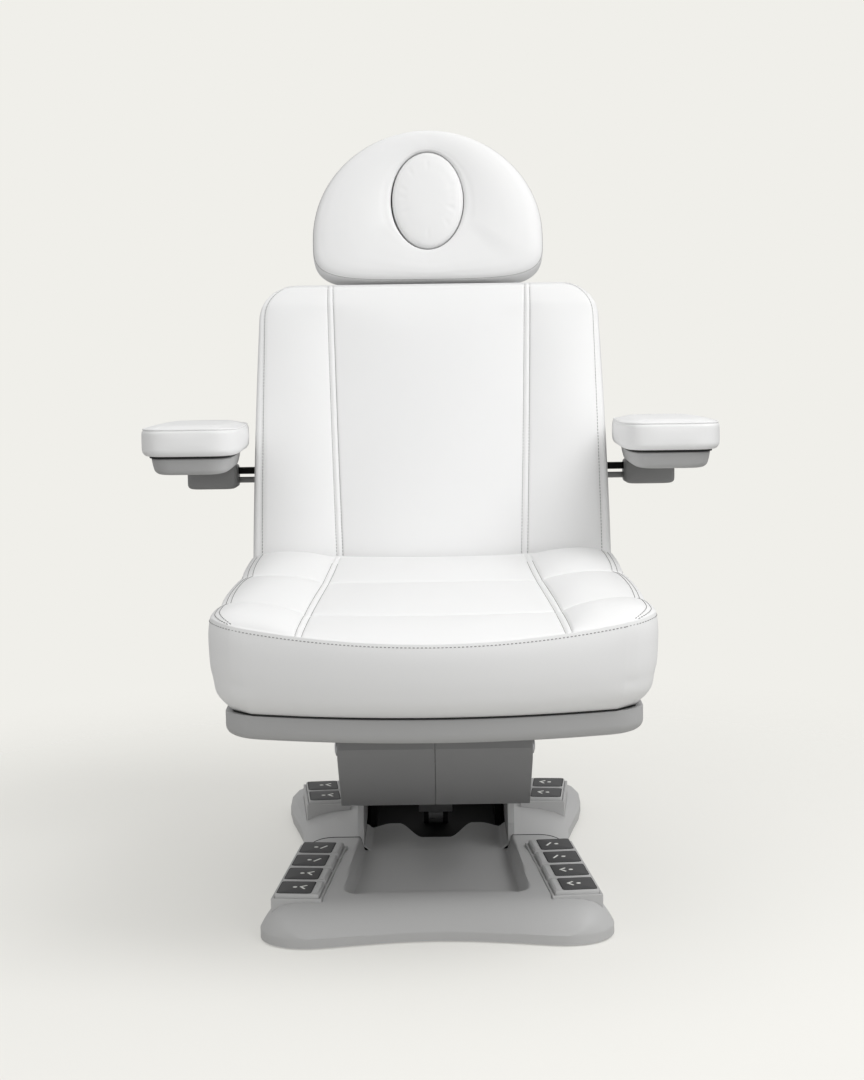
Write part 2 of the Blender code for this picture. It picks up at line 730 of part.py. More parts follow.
def make_actuator():
    """Screw actuator from the base plate to the arm. Its head is the linkage's open pivot."""
    lean = ACTUATOR_HEAD - ACTUATOR_FOOT
    length = lean.length
    angle = math.atan2(lean.z, -lean.y)
    along = Matrix.Translation(ACTUATOR_FOOT) @ Matrix.Rotation(math.pi / 2 - angle, 4, "X")
    tube_end = length - 0.034
    housing = rod_z(0, 0, ACTUATOR_TUBE_RADIUS, 0.026, tube_end)
    neck = ACTUATOR_EYE_HALF - 0.002
    join(housing, box(-neck, neck, -0.010, 0.010, 0.002, 0.034))
    join(housing, rod_x(0, 0, ACTUATOR_EYE_RADIUS - 0.004, -ACTUATOR_EYE_HALF, ACTUATOR_EYE_HALF))
    join(housing, box(-0.028, 0.028, -0.020, 0.020, 0.030, 0.062))
    cut(housing, rod_x(0, 0, ACTUATOR_PIN_RADIUS + CLEAR, -0.1, 0.1, 16))
    cut(housing, rod_z(0, 0, ACTUATOR_ROD_RADIUS + CLEAR, 0.045, length))
    part("lift_actuator", housing, "dark_plastic", "lift_actuator", along)

    rod = rod_z(0, 0, ACTUATOR_ROD_RADIUS, 0.050, length - 0.010)
    join(rod, rod_x(0, length, ACTUATOR_EYE_RADIUS, -ACTUATOR_EYE_HALF, ACTUATOR_EYE_HALF, 24))
    cut(rod, rod_x(0, length, ACTUATOR_PIN_RADIUS + OPEN_PIVOT_CLEAR, -0.1, 0.1, 24))
    part("lift_actuator_rod", rod, "bright_steel", "lift_rod", along)


# Carriage


def make_carriage():
    top = PAN_BOTTOM - CLEAR
    rear = TILT_Y + 0.016
    low = top - 0.036
    outline = [
        (LIFT_FRONT.y - 0.016, top),
        (LIFT_FRONT.y - 0.018, LIFT_FRONT.z - 0.004),
        (LIFT_FRONT.y - 0.009, LIFT_FRONT.z - LUG_RADIUS),
        (LIFT_FRONT.y + 0.009, LIFT_FRONT.z - LUG_RADIUS),
        (LIFT_FRONT.y + 0.018, LIFT_FRONT.z - 0.004),
        (LINK_FRONT.y + 0.030, low),
        (rear, low),
        (rear, top),
    ]
    frame = prism_x(outline, BEAM_INNER, BEAM_INNER + BEAM_PLATE)
    axle_half = BEAM_INNER + BEAM_PLATE + 0.020
    join(frame, rod_x(TILT.y, TILT.z, TILT_AXLE_RADIUS, -axle_half, axle_half))
    jack_rear = JACK_FRONT_Y + JACK_LENGTH
    for y0 in (JACK_FRONT_Y - CLEAR - 0.010, jack_rear + CLEAR):
        join(frame, box(-BEAM_INNER - 0.002, BEAM_INNER + 0.002, y0, y0 + 0.010, low + 0.002, top - 0.002))
    join(frame, prism_x(outline, -BEAM_INNER - BEAM_PLATE, -BEAM_INNER))
    for pivot, radius in ((LIFT_FRONT, ARM_AXLE_RADIUS), (LINK_FRONT, LINK_AXLE_RADIUS)):
        cut(frame, rod_x(pivot.y, pivot.z, radius + CLEAR, -0.3, 0.3))
    part("carriage", frame, "black_steel", "carriage")

    centre = JACK_FRONT_Y + JACK_LENGTH / 2
    jack = box(-JACK_HALF, JACK_HALF, JACK_FRONT_Y, jack_rear, JACK_BOTTOM, top - 0.004)
    bevelled(jack, 0.004)
    bored = rod_z(0, centre, JACK_ROD_RADIUS + CLEAR, JACK_BOTTOM + 0.010, top + 0.02)
    bored.hide_render = True
    bored.display_type = "WIRE"
    step = jack.modifiers.new("bore", "BOOLEAN")
    step.object = bored
    part("tilt_jack", jack, "dark_plastic", "carriage")
    bored.parent = bodies["carriage"][0]
    bored.data.transform(bodies["carriage"][1].inverted())
    bored.name = "tilt_jack_bore"

    tip = RAIL_BOTTOM - CLEAR
    rings = []
    for radius, z in ((JACK_ROD_RADIUS, JACK_BOTTOM + 0.014), (JACK_ROD_RADIUS, tip - 0.003), (0.006, tip)):
        rings.append([(x, y, z) for x, y in circle(0, centre, radius)])
    part("tilt_jack_rod", loft(rings), "bright_steel", "tilt_rod")


# Seat


def seat_front(x):
    """The bowed front edge."""
    return SEAT_FRONT_Y + SEAT_BOW * (x / SEAT_FRONT_HALF) ** 2


def rounded_square(s, t, radius_s, radius_t):
    """Moves a point of the unit square onto the square with rounded corners."""
    reach = max(abs(s), abs(t))
    if reach == 0:
        return s, t
    a, b = abs(s) / reach, abs(t) / reach
    if a > 1 - radius_s and b > 1 - radius_t:
        p = (a - 1 + radius_s) / radius_s
        q = (b - 1 + radius_t) / radius_t
        size = math.hypot(p, q)
        a = 1 - radius_s + radius_s * p / size
        b = 1 - radius_t + radius_t * q / size
    return math.copysign(a * reach, s), math.copysign(b * reach, t)


def stations(marks, steps):
    """Evenly spaced values between neighbouring marks, the marks included."""
    found = [marks[0]]
    for low, high, count in zip(marks, marks[1:], steps):
        found += [low + (high - low) * i / count for i in range(1, count + 1)]
    return found


def puff(value, marks):
    """1 in the middle of a sewn panel, falling to 0 at the seams on both sides of it."""
    for low, high in zip(marks, marks[1:]):
        if low <= value <= high:
            share = (2 * value - low - high) / (high - low)
            return 1 - share**4
    return 0.0


def quilt(across, along, point, side_rings):
    """A closed cushion: a grid of points for its face, rings for its sides and a flat back.

    point(s, t, ring) gives the place of grid value (s, t): ring 0 is the face, later ones go to the back.
    """
    points = []
    index = {}
    for i, s in enumerate(across):
        for j, t in enumerate(along):
            index[i, j] = len(points)
            points.append(point(s, t, 0))
    faces = []
    for i in range(len(across) - 1):
        for j in range(len(along) - 1):
            faces.append((index[i, j], index[i + 1, j], index[i + 1, j + 1], index[i, j + 1]))
    last_i, last_j = len(across) - 1, len(along) - 1
    rim = [(i, 0) for i in range(last_i)] + [(last_i, j) for j in range(last_j)]
    rim += [(i, last_j) for i in range(last_i, 0, -1)] + [(0, j) for j in range(last_j, 0, -1)]
    loop = [index[ij] for ij in rim]
    for ring in range(1, side_rings + 1):
        next_loop = []
        for i, j in rim:
            next_loop.append(len(points))
            points.append(point(across[i], along[j], ring))
        for k in range(len(rim)):
            k2 = (k + 1) % len(rim)
            faces.append((loop[k], loop[k2], next_loop[k2], next_loop[k]))
        loop = next_loop
    faces.append(tuple(loop))
    return shape(points, faces)


# Share of the way down the side, and how far the side stands out there
SIDE_PROFILE = ((0.0, 0.0), (0.08, 0.002), (0.35, 0.003), (0.65, -0.001), (0.88, -0.010), (1.0, -0.024))


def outward(s, t):
    """Direction away from the middle at a point of the rounded square's rim."""
    away = Vector((math.copysign(s**4, s), math.copysign(t**4, t)))
    return away.normalized()


def make_seat_cushion():
    seam = SEAT_PANEL / SEAT_FRONT_HALF
    length = SEAT_REAR_Y - SEAT_FRONT_Y
    marks_s = (-1, -seam, seam, 1)
    marks_t = (-1, *(1 - 2 * (SEAT_REAR_Y - y) / length for y in SEAT_CREASES), 1)
    bottom = PAN_TOP + CLEAR

    def point(s, t, ring):
        share, out = SIDE_PROFILE[ring]
        round_s, round_t = rounded_square(s, t, SEAT_CORNER / SEAT_FRONT_HALF, 2 * SEAT_CORNER / length)
        forward = (1 - round_t) / 2
        half = SEAT_REAR_HALF + (SEAT_FRONT_HALF - SEAT_REAR_HALF) * forward
        flare = SEAT_PANEL_FLARE * (forward - 0.5) * (1 - (2 * abs(s) - 1) ** 4)
        x = half * round_s + math.copysign(flare, s) * (s != 0)
        y = SEAT_REAR_Y + (seat_front(half * round_s) - SEAT_REAR_Y) * forward
        y += SEAT_REAR_LEAN * max(1 - share / 0.4, 0) * max(round_t, 0) ** 6
        edge = SEAT_TOP + SEAT_BOLSTER * s**2 - SEAT_FRONT_DIP * forward**6 * (1 - s**2)
        if ring == 0:
            return (x, y, edge + SEAT_CROWN * puff(s, marks_s) * puff(t, marks_t))
        away = outward(round_s, round_t)
        if away.y > 0:
            away.y *= out < 0
        return (x + out * away.x, y + out * away.y, edge + (bottom - edge) * share)

    cushion = quilt(stations(marks_s, (6, 8, 6)), stations(marks_t, (5, 7, 6)), point, len(SIDE_PROFILE) - 1)
    part("seat_cushion", cushion, "white_leather", "seat")


def pan_outline(inset):
    """The pan's plan, bowed in front as the cushion is."""
    half = PAN_HALF - inset
    rear = PAN_REAR_Y - inset
    corner = 0.035
    outline = [(half, rear), (-half, rear)]
    front = []
    for i in range(17):
        x = half * (i / 8 - 1)
        near = max(abs(x) - (half - corner), 0) / corner
        y = seat_front(x) + PAN_INSET + inset + corner * (1 - math.sqrt(1 - min(near, 1) ** 2)) * 0.9
        front.append((x, y))
    return outline + front


def make_pan():
    rings = []
    for inset, share in ((0.016, 0), (0.006, 0.10), (0.001, 0.30), (0, 0.5), (0, 1)):
        z = PAN_BOTTOM + (PAN_TOP - PAN_BOTTOM) * share
        rings.append([(x, y, z) for x, y in pan_outline(inset)])
    pan = loft(rings)
    hollow = [(x, y + (0.1 if y > 0 else 0)) for x, y in pan_outline(PAN_WALL + 0.006)]
    cut(pan, prism_z(hollow, PAN_BOTTOM + PAN_WALL, PAN_TOP + 0.02))
    centre = JACK_FRONT_Y + JACK_LENGTH / 2
    slot = JACK_ROD_RADIUS + 0.014
    cut(pan, box(-slot, slot, centre - slot, centre + slot, PAN_BOTTOM - 0.02, PAN_TOP))
    part("seat_pan", pan, "grey_plastic", "seat")


def make_seat_frame():
    front = SEAT_FRONT_Y + SEAT_BOW + PAN_INSET + 0.060
    rear = HINGE_Y + 0.014
    frame = box(RAIL_OUTER - RAIL_WIDTH, RAIL_OUTER, front, rear, RAIL_BOTTOM, RAIL_TOP)
    jack_rear = JACK_FRONT_Y + JACK_LENGTH
    reach = RAIL_OUTER - RAIL_WIDTH / 2
    for y0, y1 in ((front, front + 0.03), (JACK_FRONT_Y, jack_rear), (TILT_Y - 0.015, TILT_Y + 0.015)):
        join(frame, box(-reach, reach, y0, y1, RAIL_BOTTOM + 0.0001, RAIL_TOP - 0.0001))
    join(frame, box(-RAIL_OUTER, RAIL_WIDTH - RAIL_OUTER, front, rear, RAIL_BOTTOM, RAIL_TOP))
    for side in (-1, 1):
        near = side * (BEAM_INNER + BEAM_PLATE + 2 * CLEAR)
        far = near + side * 0.014
        lug = bar_between(TILT, TILT + Vector((0, 0, 0.034)), 0.0145)
        join(frame, prism_x(lug, min(near, far), max(near, far)))
        ear = bar_between(HINGE, HINGE - Vector((0, 0, 0.035)), 0.016)
        inner, outer = side * (RAIL_OUTER - RAIL_WIDTH + 0.002), side * (RAIL_OUTER - 0.002)
        join(frame, prism_x(ear, min(inner, outer), max(inner, outer)))
    cut(frame, rod_x(TILT.y, TILT.z, TILT_AXLE_RADIUS + CLEAR, -0.15, 0.15))
    cut(frame, rod_x(HINGE.y, HINGE.z, SHAFT_RADIUS + CLEAR, -0.3, 0.3))
    part("seat_frame", frame, "black_steel", "seat")


def make_back_drive():
    """Gear motor on the hinge shaft, bolted behind the frame's rear cross member."""
    face = TILT_Y + 0.015 + CLEAR
    side = RAIL_OUTER - RAIL_WIDTH - CLEAR
    motor = box(side - 0.150, side - 0.004, face, face + 0.066, HINGE_Z - 0.080, HINGE_Z - 0.018)
    bevelled(motor, 0.004)
    gearbox = rod_x(HINGE.y, HINGE.z, GEAR_RADIUS, side - 0.060, side)
    join(gearbox, box(side - 0.056, side - 0.004, HINGE_Y - 0.018, HINGE_Y + 0.018, HINGE_Z - 0.040, HINGE_Z))
    join(motor, gearbox)
    motor.modifiers.clear()
    cut(motor, rod_x(HINGE.y, HINGE.z, SHAFT_RADIUS + CLEAR, -0.1, 0.4))
    part("back_gear_motor", motor, "dark_plastic", "seat")
    half = RAIL_OUTER + KNUCKLE_WIDTH + 0.004
    part("back_hinge_shaft", rod_x(HINGE.y, HINGE.z, SHAFT_RADIUS, -half, half), "bright_steel", "backrest")


# Backrest, in its own frame


def back_half(z):
    return BACK_HALF + (BACK_TOP_HALF - BACK_HALF) * min(max(z / BACK_TOP, 0), 1) ** 1.5


def make_back_cushion():
    seam = BACK_PANEL / BACK_HALF
    marks_s = (-1, -seam, seam, 1)
    depth = len(SIDE_PROFILE) - 1
    length = BACK_TOP - BACK_FOOT_FRONT
    reach = math.hypot(BACK_THICK, BACK_FOOT_FRONT)

    def point(s, t, ring):
        share, out = SIDE_PROFILE[ring]
        rounded = rounded_square(s, t, BACK_CORNER / BACK_HALF, 2 * BACK_CORNER / length) if t > 0 else (s, t)
        foot = BACK_FOOT_FRONT + (BACK_FOOT_REAR - BACK_FOOT_FRONT) * share
        upward = (rounded[1] + 1) / 2
        z = foot + (BACK_TOP - foot) * upward
        half = back_half(z)
        flare = BACK_PANEL_FLARE * (upward - 0.5)
        x = half * rounded[0] + math.copysign(flare * puff(abs(s), (0, 1)), s) * (abs(s) > 0)
        edge = BACK_THICK - 0.012 * max(upward - 0.94, 0) / 0.06
        if ring == 0:
            crown = BACK_CROWN * puff(s, marks_s) * puff(t, (-1, 1))
            front = edge + crown
            if z < 0.02:
                front = min(front, math.sqrt(max(reach**2 - z**2, 0)))
            return (x, -front, z)
        if abs(s) == 1 or t == 1:
            x += 0.6 * out * rounded[0]
            z += 0.6 * out * max(rounded[1], 0) ** 3
        return (x, -edge * (1 - share) - CLEAR * share, z)

    cushion = quilt(stations(marks_s, (5, 7, 5)), stations((-1, 1), (16,)), point, depth)
    part("back_cushion", cushion, "white_leather", "backrest", BACK_FRAME)


def board_outline(margin, foot):
    """(x, z) outline of a panel behind the cushion, with rounded upper corners."""
    top = BACK_TOP - margin
    corner = BACK_CORNER - margin / 2
    low = back_half(foot) - margin
    high = back_half(top) - margin
    outline = [(-low, foot), (low, foot)]
    for i in range(6):
        turn = math.pi / 2 * i / 5
        outline.append((high - corner * (1 - math.cos(turn)), top - corner * (1 - math.sin(turn))))
    return outline + [(-x, z) for x, z in outline[:1:-1]]


def panel(outline, y0, y1):
    """An (x, z) outline carried along Y."""
    return loft([[(x, y, z) for x, z in outline] for y in (y0, y1)])


def make_back_frame():
    """Plywood board with guides for the headrest's posts, steel hinge straps and the rear shell."""
    board = panel(board_outline(BOARD_MARGIN, BACK_FOOT_REAR), CLEAR, BOARD_THICK)
    top = BACK_TOP - BOARD_MARGIN
    for side in (-1, 1):
        guide = box(side * POST_X - SLEEVE_RADIUS, side * POST_X + SLEEVE_RADIUS, BOARD_THICK - 0.004,
                    POST_Y + SLEEVE_RADIUS, SLEEVE_FOOT, top - 0.0005)
        join(board, guide)
    for side in (-1, 1):
        cut(board, rod_z(side * POST_X, POST_Y, POST_RADIUS + CLEAR, SLEEVE_FOOT - 0.01, BACK_TOP))
    part("back_board", board, "plywood", "backrest", BACK_FRAME)

    strap_face = BOARD_THICK + CLEAR
    for side, word in ((-1, "left"), (1, "right")):
        inner = side * (RAIL_OUTER + 2 * CLEAR)
        outer = inner + side * KNUCKLE_WIDTH
        strap = rod_x(0, 0, KNUCKLE_RADIUS, min(inner, outer), max(inner, outer), 24)
        plate = box(min(inner, outer) + 0.0005, max(inner, outer) - 0.0005, strap_face, strap_face + STRAP_THICK,
                    -KNUCKLE_RADIUS / 2, SHELL_FOOT - 2 * CLEAR)
        join(strap, plate)
        bridge = box(min(inner, outer) + 0.001, max(inner, outer) - 0.001, 0, strap_face + STRAP_THICK - 0.0005,
                     -KNUCKLE_RADIUS / 2 + 0.001, BACK_FOOT_REAR - 0.004)
        join(strap, bridge)
        cut(strap, rod_x(0, 0, SHAFT_RADIUS + CLEAR, -0.4, 0.4))
        part(f"back_hinge_strap_{word}", strap, "black_steel", "backrest", BACK_FRAME)

    rear = BOARD_THICK + CLEAR
    outline = board_outline(SHELL_MARGIN, SHELL_FOOT)
    inset = board_outline(SHELL_MARGIN + 0.020, SHELL_FOOT + 0.012)
    rings = []
    for out, ring in ((0, outline), (SHELL_DEPTH * 0.5, outline), (SHELL_DEPTH, inset)):
        rings.append([(x, rear + out, z) for x, z in ring])
    shell = loft(rings)
    hollow = board_outline(SHELL_MARGIN + 0.022, SHELL_FOOT + 0.016)
    cut(shell, panel(hollow, rear - 0.01, rear + SHELL_DEPTH - SHELL_WALL))
    for side in (-1, 1):
        gap = SLEEVE_RADIUS + 0.001
        cut(shell, box(side * POST_X - gap, side * POST_X + gap, 0, POST_Y + gap, SLEEVE_FOOT, BACK_TOP + 0.1))
        low, high = ARM_PIVOT_Z - 0.046, ARM_PIVOT_Z + 0.026
        near, far = side * 0.12, side * 0.4
        cut(shell, box(min(near, far), max(near, far), 0, rear + BRACKET_PLATE + 2 * CLEAR, low, high))
    part("back_shell", shell, "grey_plastic", "backrest", BACK_FRAME)


# Headrest, in the backrest's frame


def head_outline(turn):
    """Loaf outline: domed above, nearly straight below with rounded corners. turn 0 points to +X."""
    c, s = math.cos(turn), math.sin(turn)
    power = 2.1 if s > 0 else 4.3
    height = HEAD_HEIGHT - HEAD_WIDEST if s > 0 else HEAD_WIDEST
    size = (abs(c / HEAD_HALF) ** power + abs(s / height) ** power) ** (-1 / power)
    return size * c, HEAD_CENTRE + size * s


def hole_outline(turn, grow):
    size_x, size_z = HOLE_HALF + grow, HOLE_HEIGHT / 2 + grow
    return size_x * math.cos(turn), HOLE_CENTRE + size_z * math.sin(turn)


def make_headrest():
    count = 48
    turns = [2 * math.pi * i / count for i in range(count)]

    def ring(share, y, draw=0.0):
        """A loop between the hole (share 0) and the outer edge (share 1), drawn in from the edge."""
        loop = []
        for turn in turns:
            hx, hz = hole_outline(turn, 0)
            ox, oz = head_outline(turn)
            size = math.hypot(ox, oz - HEAD_CENTRE)
            ox -= draw * ox / size
            oz -= draw * (oz - HEAD_CENTRE) / size
            loop.append((hx + (ox - hx) * share, y, hz + (oz - hz) * share))
        return loop

    front = -HEAD_THICK
    rings = [
        ring(0, front + 0.004),
        ring(0.12, front + 0.001),
        ring(0.50, front),
        ring(0.85, front + 0.006),
        ring(1, front + 0.014, 0.004),
        ring(1, front * 0.6),
        ring(1, front * 0.3, 0.002),
        ring(1, -CLEAR, 0.014),
        ring(0, -CLEAR),
    ]
    cushion = loft(rings, True)
    part("headrest_cushion", cushion, "white_leather", "headrest", BACK_FRAME)

    rings = []
    for grow, y in ((-0.0006, -PLUG_REAR), (-0.0006, front + 0.006), (-0.006, front + 0.001), (-0.025, front - 0.003)):
        rings.append([(x, y, z) for x, z in (hole_outline(turn, grow) for turn in turns[::2])])
    part("headrest_plug", loft(rings), "white_leather", "headrest_plug", BACK_FRAME)

    edge = []
    for turn in turns[::2]:
        x, z = head_outline(turn)
        edge.append((0.86 * x, HEAD_CENTRE + 0.86 * (z - HEAD_CENTRE)))
    board = panel(edge, CLEAR, HEAD_BOARD_THICK)
    for side in (-1, 1):
        inner = side * (POST_X + POST_RADIUS + 0.004)
        outer = inner + side * 0.016
        lug = lug_profile(HEAD_BOARD_THICK - 0.003, POST_Y, HEAD_AXIS, HEAD_KNUCKLE)
        join(board, prism_x(lug, min(inner, outer), max(inner, outer)))
    cut(board, panel([hole_outline(turn + 0.03, -0.012) for turn in turns[::2]], -0.05, 0.05))
    cut(board, rod_x(POST_Y, HEAD_AXIS, POST_RADIUS + CLEAR, -0.3, 0.3))
    part("headrest_board", board, "dark_plastic", "headrest", BACK_FRAME)

    half = POST_X + POST_RADIUS + 0.024
    posts = rod_x(POST_Y, HEAD_AXIS, POST_RADIUS, -half, half)
    for side in (-1, 1):
        join(posts, rod_z(side * POST_X, POST_Y, POST_RADIUS - 0.0001, POST_FOOT, HEAD_AXIS))
    part("headrest_posts", posts, "bright_steel", "headrest_carrier", BACK_FRAME)


# Armrests


def pad_outline(side, margin, count=36):
    """Plan of an armrest pad, a long rounded shape that toes in towards the front."""
    half = PAD_WIDTH / 2 - margin
    reach = (PAD_REAR_Y - PAD_FRONT_Y) / 2 - margin
    middle = (PAD_REAR_Y + PAD_FRONT_Y) / 2
    outline = []
    for i in range(count):
        turn = 2 * math.pi * i / count
        c, s = math.cos(turn), math.sin(turn)
        across = half * math.copysign(abs(c) ** 0.36, c)
        y = middle + reach * math.copysign(abs(s) ** 0.36, s)
        toe = PAD_TOE_IN * (PAD_REAR_Y - y) / (PAD_REAR_Y - PAD_FRONT_Y)
        x = PAD_INNER + PAD_WIDTH / 2 - toe + across
        outline.append((side * x, y))
    return outline


def make_armrests():
    for side, word in ((-1, "left"), (1, "right")):
        carrier = f"armrest_{word}"
        pivot = Matrix.Translation(ARM_PIVOT)
        raised = pivot @ Matrix.Rotation(-PAD_RAISE, 4, "X") @ pivot.inverted()
        thick = PAD_TOP - PAD_BOTTOM
        rings = []
        for margin, share in ((0.005, 0), (0, 0.12), (0, 0.62), (0.003, 0.84), (0.009, 0.96), (0.022, 1.0)):
            rings.append([(x, y, PAD_BOTTOM + thick * share) for x, y in pad_outline(side, margin)])
        part(f"armrest_pad_{word}", loft(rings), "white_leather", carrier, raised)

        under = PAD_BOTTOM - CLEAR
        rings = []
        for margin, share in ((0.034, 0), (0.022, 0.3), (0.013, 1.0)):
            rings.append([(x, y, under - PAD_SHELL_DEPTH * (1 - share)) for x, y in pad_outline(side, margin)])
        part(f"armrest_shell_{word}", loft(rings), "grey_plastic", carrier, raised)

        top = under - PAD_SHELL_DEPTH - CLEAR
        inner, outer = side * HUB_INNER, side * (HUB_INNER + HUB_WIDTH)
        hub = box(min(inner, outer), max(inner, outer), ARM_PIVOT.y - HUB_FRONT, ARM_PIVOT.y + HUB_REAR,
                  HUB_BOTTOM, top)
        stop = raised.inverted() @ BACK_FRAME @ Vector((0, ARM_PIVOT_Y, ARM_PIVOT_Z - ARM_STOP_DROP))
        near = side * (BRACKET_OUTER + CLEAR)
        far = side * (HUB_INNER + 0.004)
        join(hub, rod_x(stop.y, stop.z, ARM_STOP_RADIUS, min(near, far), max(near, far), 16))
        pin_end = HUB_INNER + HUB_WIDTH - 0.008
        bore = side * (pin_end + CLEAR)
        cut(hub, rod_x(ARM_PIVOT.y, ARM_PIVOT.z, ARM_PIN_RADIUS + CLEAR, min(0, bore), max(0, bore), 16))
        part(f"armrest_hub_{word}", hub, "grey_plastic", carrier, raised)
        make_bracket(side, word, pin_end)


def make_bracket(side, word, pin_end):
    """Plate behind the back frame, with a lug beside its edge that carries the armrest's pin."""
    rear = BOARD_THICK + CLEAR
    low, high = ARM_PIVOT_Z - 0.042, ARM_PIVOT_Z + 0.022
    inner, outer = side * 0.170, side * BRACKET_OUTER
    bracket = box(min(inner, outer), max(inner, outer), rear, rear + BRACKET_PLATE, low, high)
    edge = side * (back_half(ARM_PIVOT_Z) - BOARD_MARGIN + 0.004)
    lug = box(min(edge, outer), max(edge, outer), 0.001, rear + BRACKET_PLATE - 0.0005, low + 0.0005, high - 0.0005)
    join(bracket, lug)
    near, far = side * (BRACKET_OUTER - 0.006), side * pin_end
    join(bracket, rod_x(ARM_PIVOT_Y, ARM_PIVOT_Z, ARM_PIN_RADIUS, min(near, far), max(near, far), 16))
    part(f"armrest_bracket_{word}", bracket, "black_steel", "backrest", BACK_FRAME)


def make_bodies():
    """The joints' empties, each on its axis."""
    identity = Matrix.Identity(4)
    body("base", identity)
    body("lift_actuator", Matrix.Translation(ACTUATOR_FOOT), "base")
    body("lift_rod", Matrix.Translation(ACTUATOR_FOOT), "lift_actuator")
    body("lift_arm", Matrix.Translation(LIFT_REAR), "base")
    body("lift_link", Matrix.Translation(LINK_REAR), "base")
    body("carriage", Matrix.Translation(LIFT_FRONT), "lift_arm")
    body("tilt_rod", Matrix.Translation((0, JACK_FRONT_Y + JACK_LENGTH / 2, PAN_BOTTOM)), "carriage")
    body("seat", Matrix.Translation(TILT), "carriage")
    body("backrest", BACK_FRAME, "seat")
    head = BACK_FRAME @ Matrix.Translation((0, POST_Y, HEAD_AXIS))
    body("headrest_carrier", head, "backrest")
    body("headrest", head, "headrest_carrier")
    body("headrest_plug", BACK_FRAME @ Matrix.Translation((0, -HEAD_THICK, HOLE_CENTRE)), "headrest")
    for word in ("left", "right"):
        body(f"armrest_{word}", Matrix.Translation(ARM_PIVOT), "backrest")


def centre_on_origin():
    """Moves the whole part along Y so that the origin lies below the middle of its box."""
    bpy.context.view_layer.update()
    found = []
    for obj in bpy.data.objects:
        if obj.type == "MESH" and not obj.hide_render:
            found += [(obj.matrix_world @ vertex.co).y for vertex in obj.data.vertices]
    bodies["base"][0].location.y = -(min(found) + max(found)) / 2


def main():
    clear_scene()
    make_bodies()
    make_base()
    make_pods()
    make_lift()
    make_carriage()
    make_pan()
    make_seat_frame()
    make_back_drive()
    make_seat_cushion()
    make_back_cushion()
    make_back_frame()
    make_headrest()
    make_armrests()
    centre_on_origin()


main()
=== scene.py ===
# %% [markdown]
# # An electric treatment chair, surface by surface
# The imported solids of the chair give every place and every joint. This lesson lays the real surface over
# them: stitched artificial leather, moulded covers, rubber keys and steel. Each piece rides on the body
# that carries it, so the chair still lifts, reclines and folds.

import json
import math

import bmesh
import bpy
import numpy as np
from mathutils import Matrix, Vector

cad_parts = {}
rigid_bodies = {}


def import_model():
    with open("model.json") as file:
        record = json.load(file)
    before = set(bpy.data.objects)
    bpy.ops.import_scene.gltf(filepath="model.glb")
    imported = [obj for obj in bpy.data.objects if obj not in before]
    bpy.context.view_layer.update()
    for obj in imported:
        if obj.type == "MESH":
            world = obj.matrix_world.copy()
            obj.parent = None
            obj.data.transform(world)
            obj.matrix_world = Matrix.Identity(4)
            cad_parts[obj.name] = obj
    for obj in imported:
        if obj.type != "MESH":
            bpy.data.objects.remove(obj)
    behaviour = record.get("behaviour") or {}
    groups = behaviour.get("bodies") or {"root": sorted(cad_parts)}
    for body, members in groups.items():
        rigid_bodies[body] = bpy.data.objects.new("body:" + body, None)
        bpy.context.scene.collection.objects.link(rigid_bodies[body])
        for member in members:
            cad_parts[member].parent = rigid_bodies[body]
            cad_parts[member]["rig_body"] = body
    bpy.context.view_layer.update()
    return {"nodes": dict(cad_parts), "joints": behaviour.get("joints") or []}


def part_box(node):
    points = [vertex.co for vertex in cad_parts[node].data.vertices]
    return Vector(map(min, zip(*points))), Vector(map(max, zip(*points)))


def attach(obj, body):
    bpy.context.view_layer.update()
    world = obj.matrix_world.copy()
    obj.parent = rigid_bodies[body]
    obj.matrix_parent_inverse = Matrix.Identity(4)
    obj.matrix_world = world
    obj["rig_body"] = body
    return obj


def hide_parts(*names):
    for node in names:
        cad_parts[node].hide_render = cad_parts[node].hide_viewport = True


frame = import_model()
nodes = frame["nodes"]
joints = {joint["name"]: joint for joint in frame["joints"]}
hinge = np.array(joints["backrest_recline"]["pos_m"])
arm_pivot = np.array(joints["armrest_fold_left"]["pos_m"])
shift = hinge[1] - 0.160
BACK_LEAN = math.radians(18)
SIDES = ((-1, "left"), (1, "right"))

# %% [markdown]
# ## Meshes from arrays
# Every new piece is a set of grids, each a surface of two parameters worked out as one array. Grids that
# share an edge repeat its points, and the weld joins them, so a cushion's face, sides and back become one
# closed skin.


# %% Weld grids into one closed skin
WELD, REACH = 2e-5, 0.008


def xyz(x, y, z):
    """An array of points from three arrays of coordinates."""
    return np.stack(np.broadcast_arrays(x, y, z), -1)


def weld(grids):
    """Joins grids of points, each (n, m, 3): cell (i, j) is the face (i,j), (i+1,j), (i+1,j+1), (i,j+1).

    Returns the points, each grid point's place among them, the faces and the grid that each face is from.
    """
    points = np.concatenate([grid.reshape(-1, 3) for grid in grids])
    corners, owner, start = [], [], 0
    for number, grid in enumerate(grids):
        n, m = grid.shape[:2]
        index = np.arange(start, start + n * m).reshape(n, m)
        cells = np.stack([index[:-1, :-1], index[1:, :-1], index[1:, 1:], index[:-1, 1:]], -1)
        corners.append(cells.reshape(-1, 4))
        owner.append(np.full((n - 1) * (m - 1), number))
        start += n * m
    key = np.floor(points / WELD + 0.137).astype(np.int64)
    _, first, same = np.unique(key, axis=0, return_index=True, return_inverse=True)
    same = same.reshape(-1)
    quads, owner = same[np.concatenate(corners)], np.concatenate(owner)
    fresh = quads != np.roll(quads, 1, axis=1)
    whole, three = fresh.sum(1) == 4, fresh.sum(1) == 3
    faces = quads[whole].tolist() + quads[three][fresh[three]].reshape(-1, 3).tolist()
    return points[first], same, faces, np.concatenate([owner[whole], owner[three]])


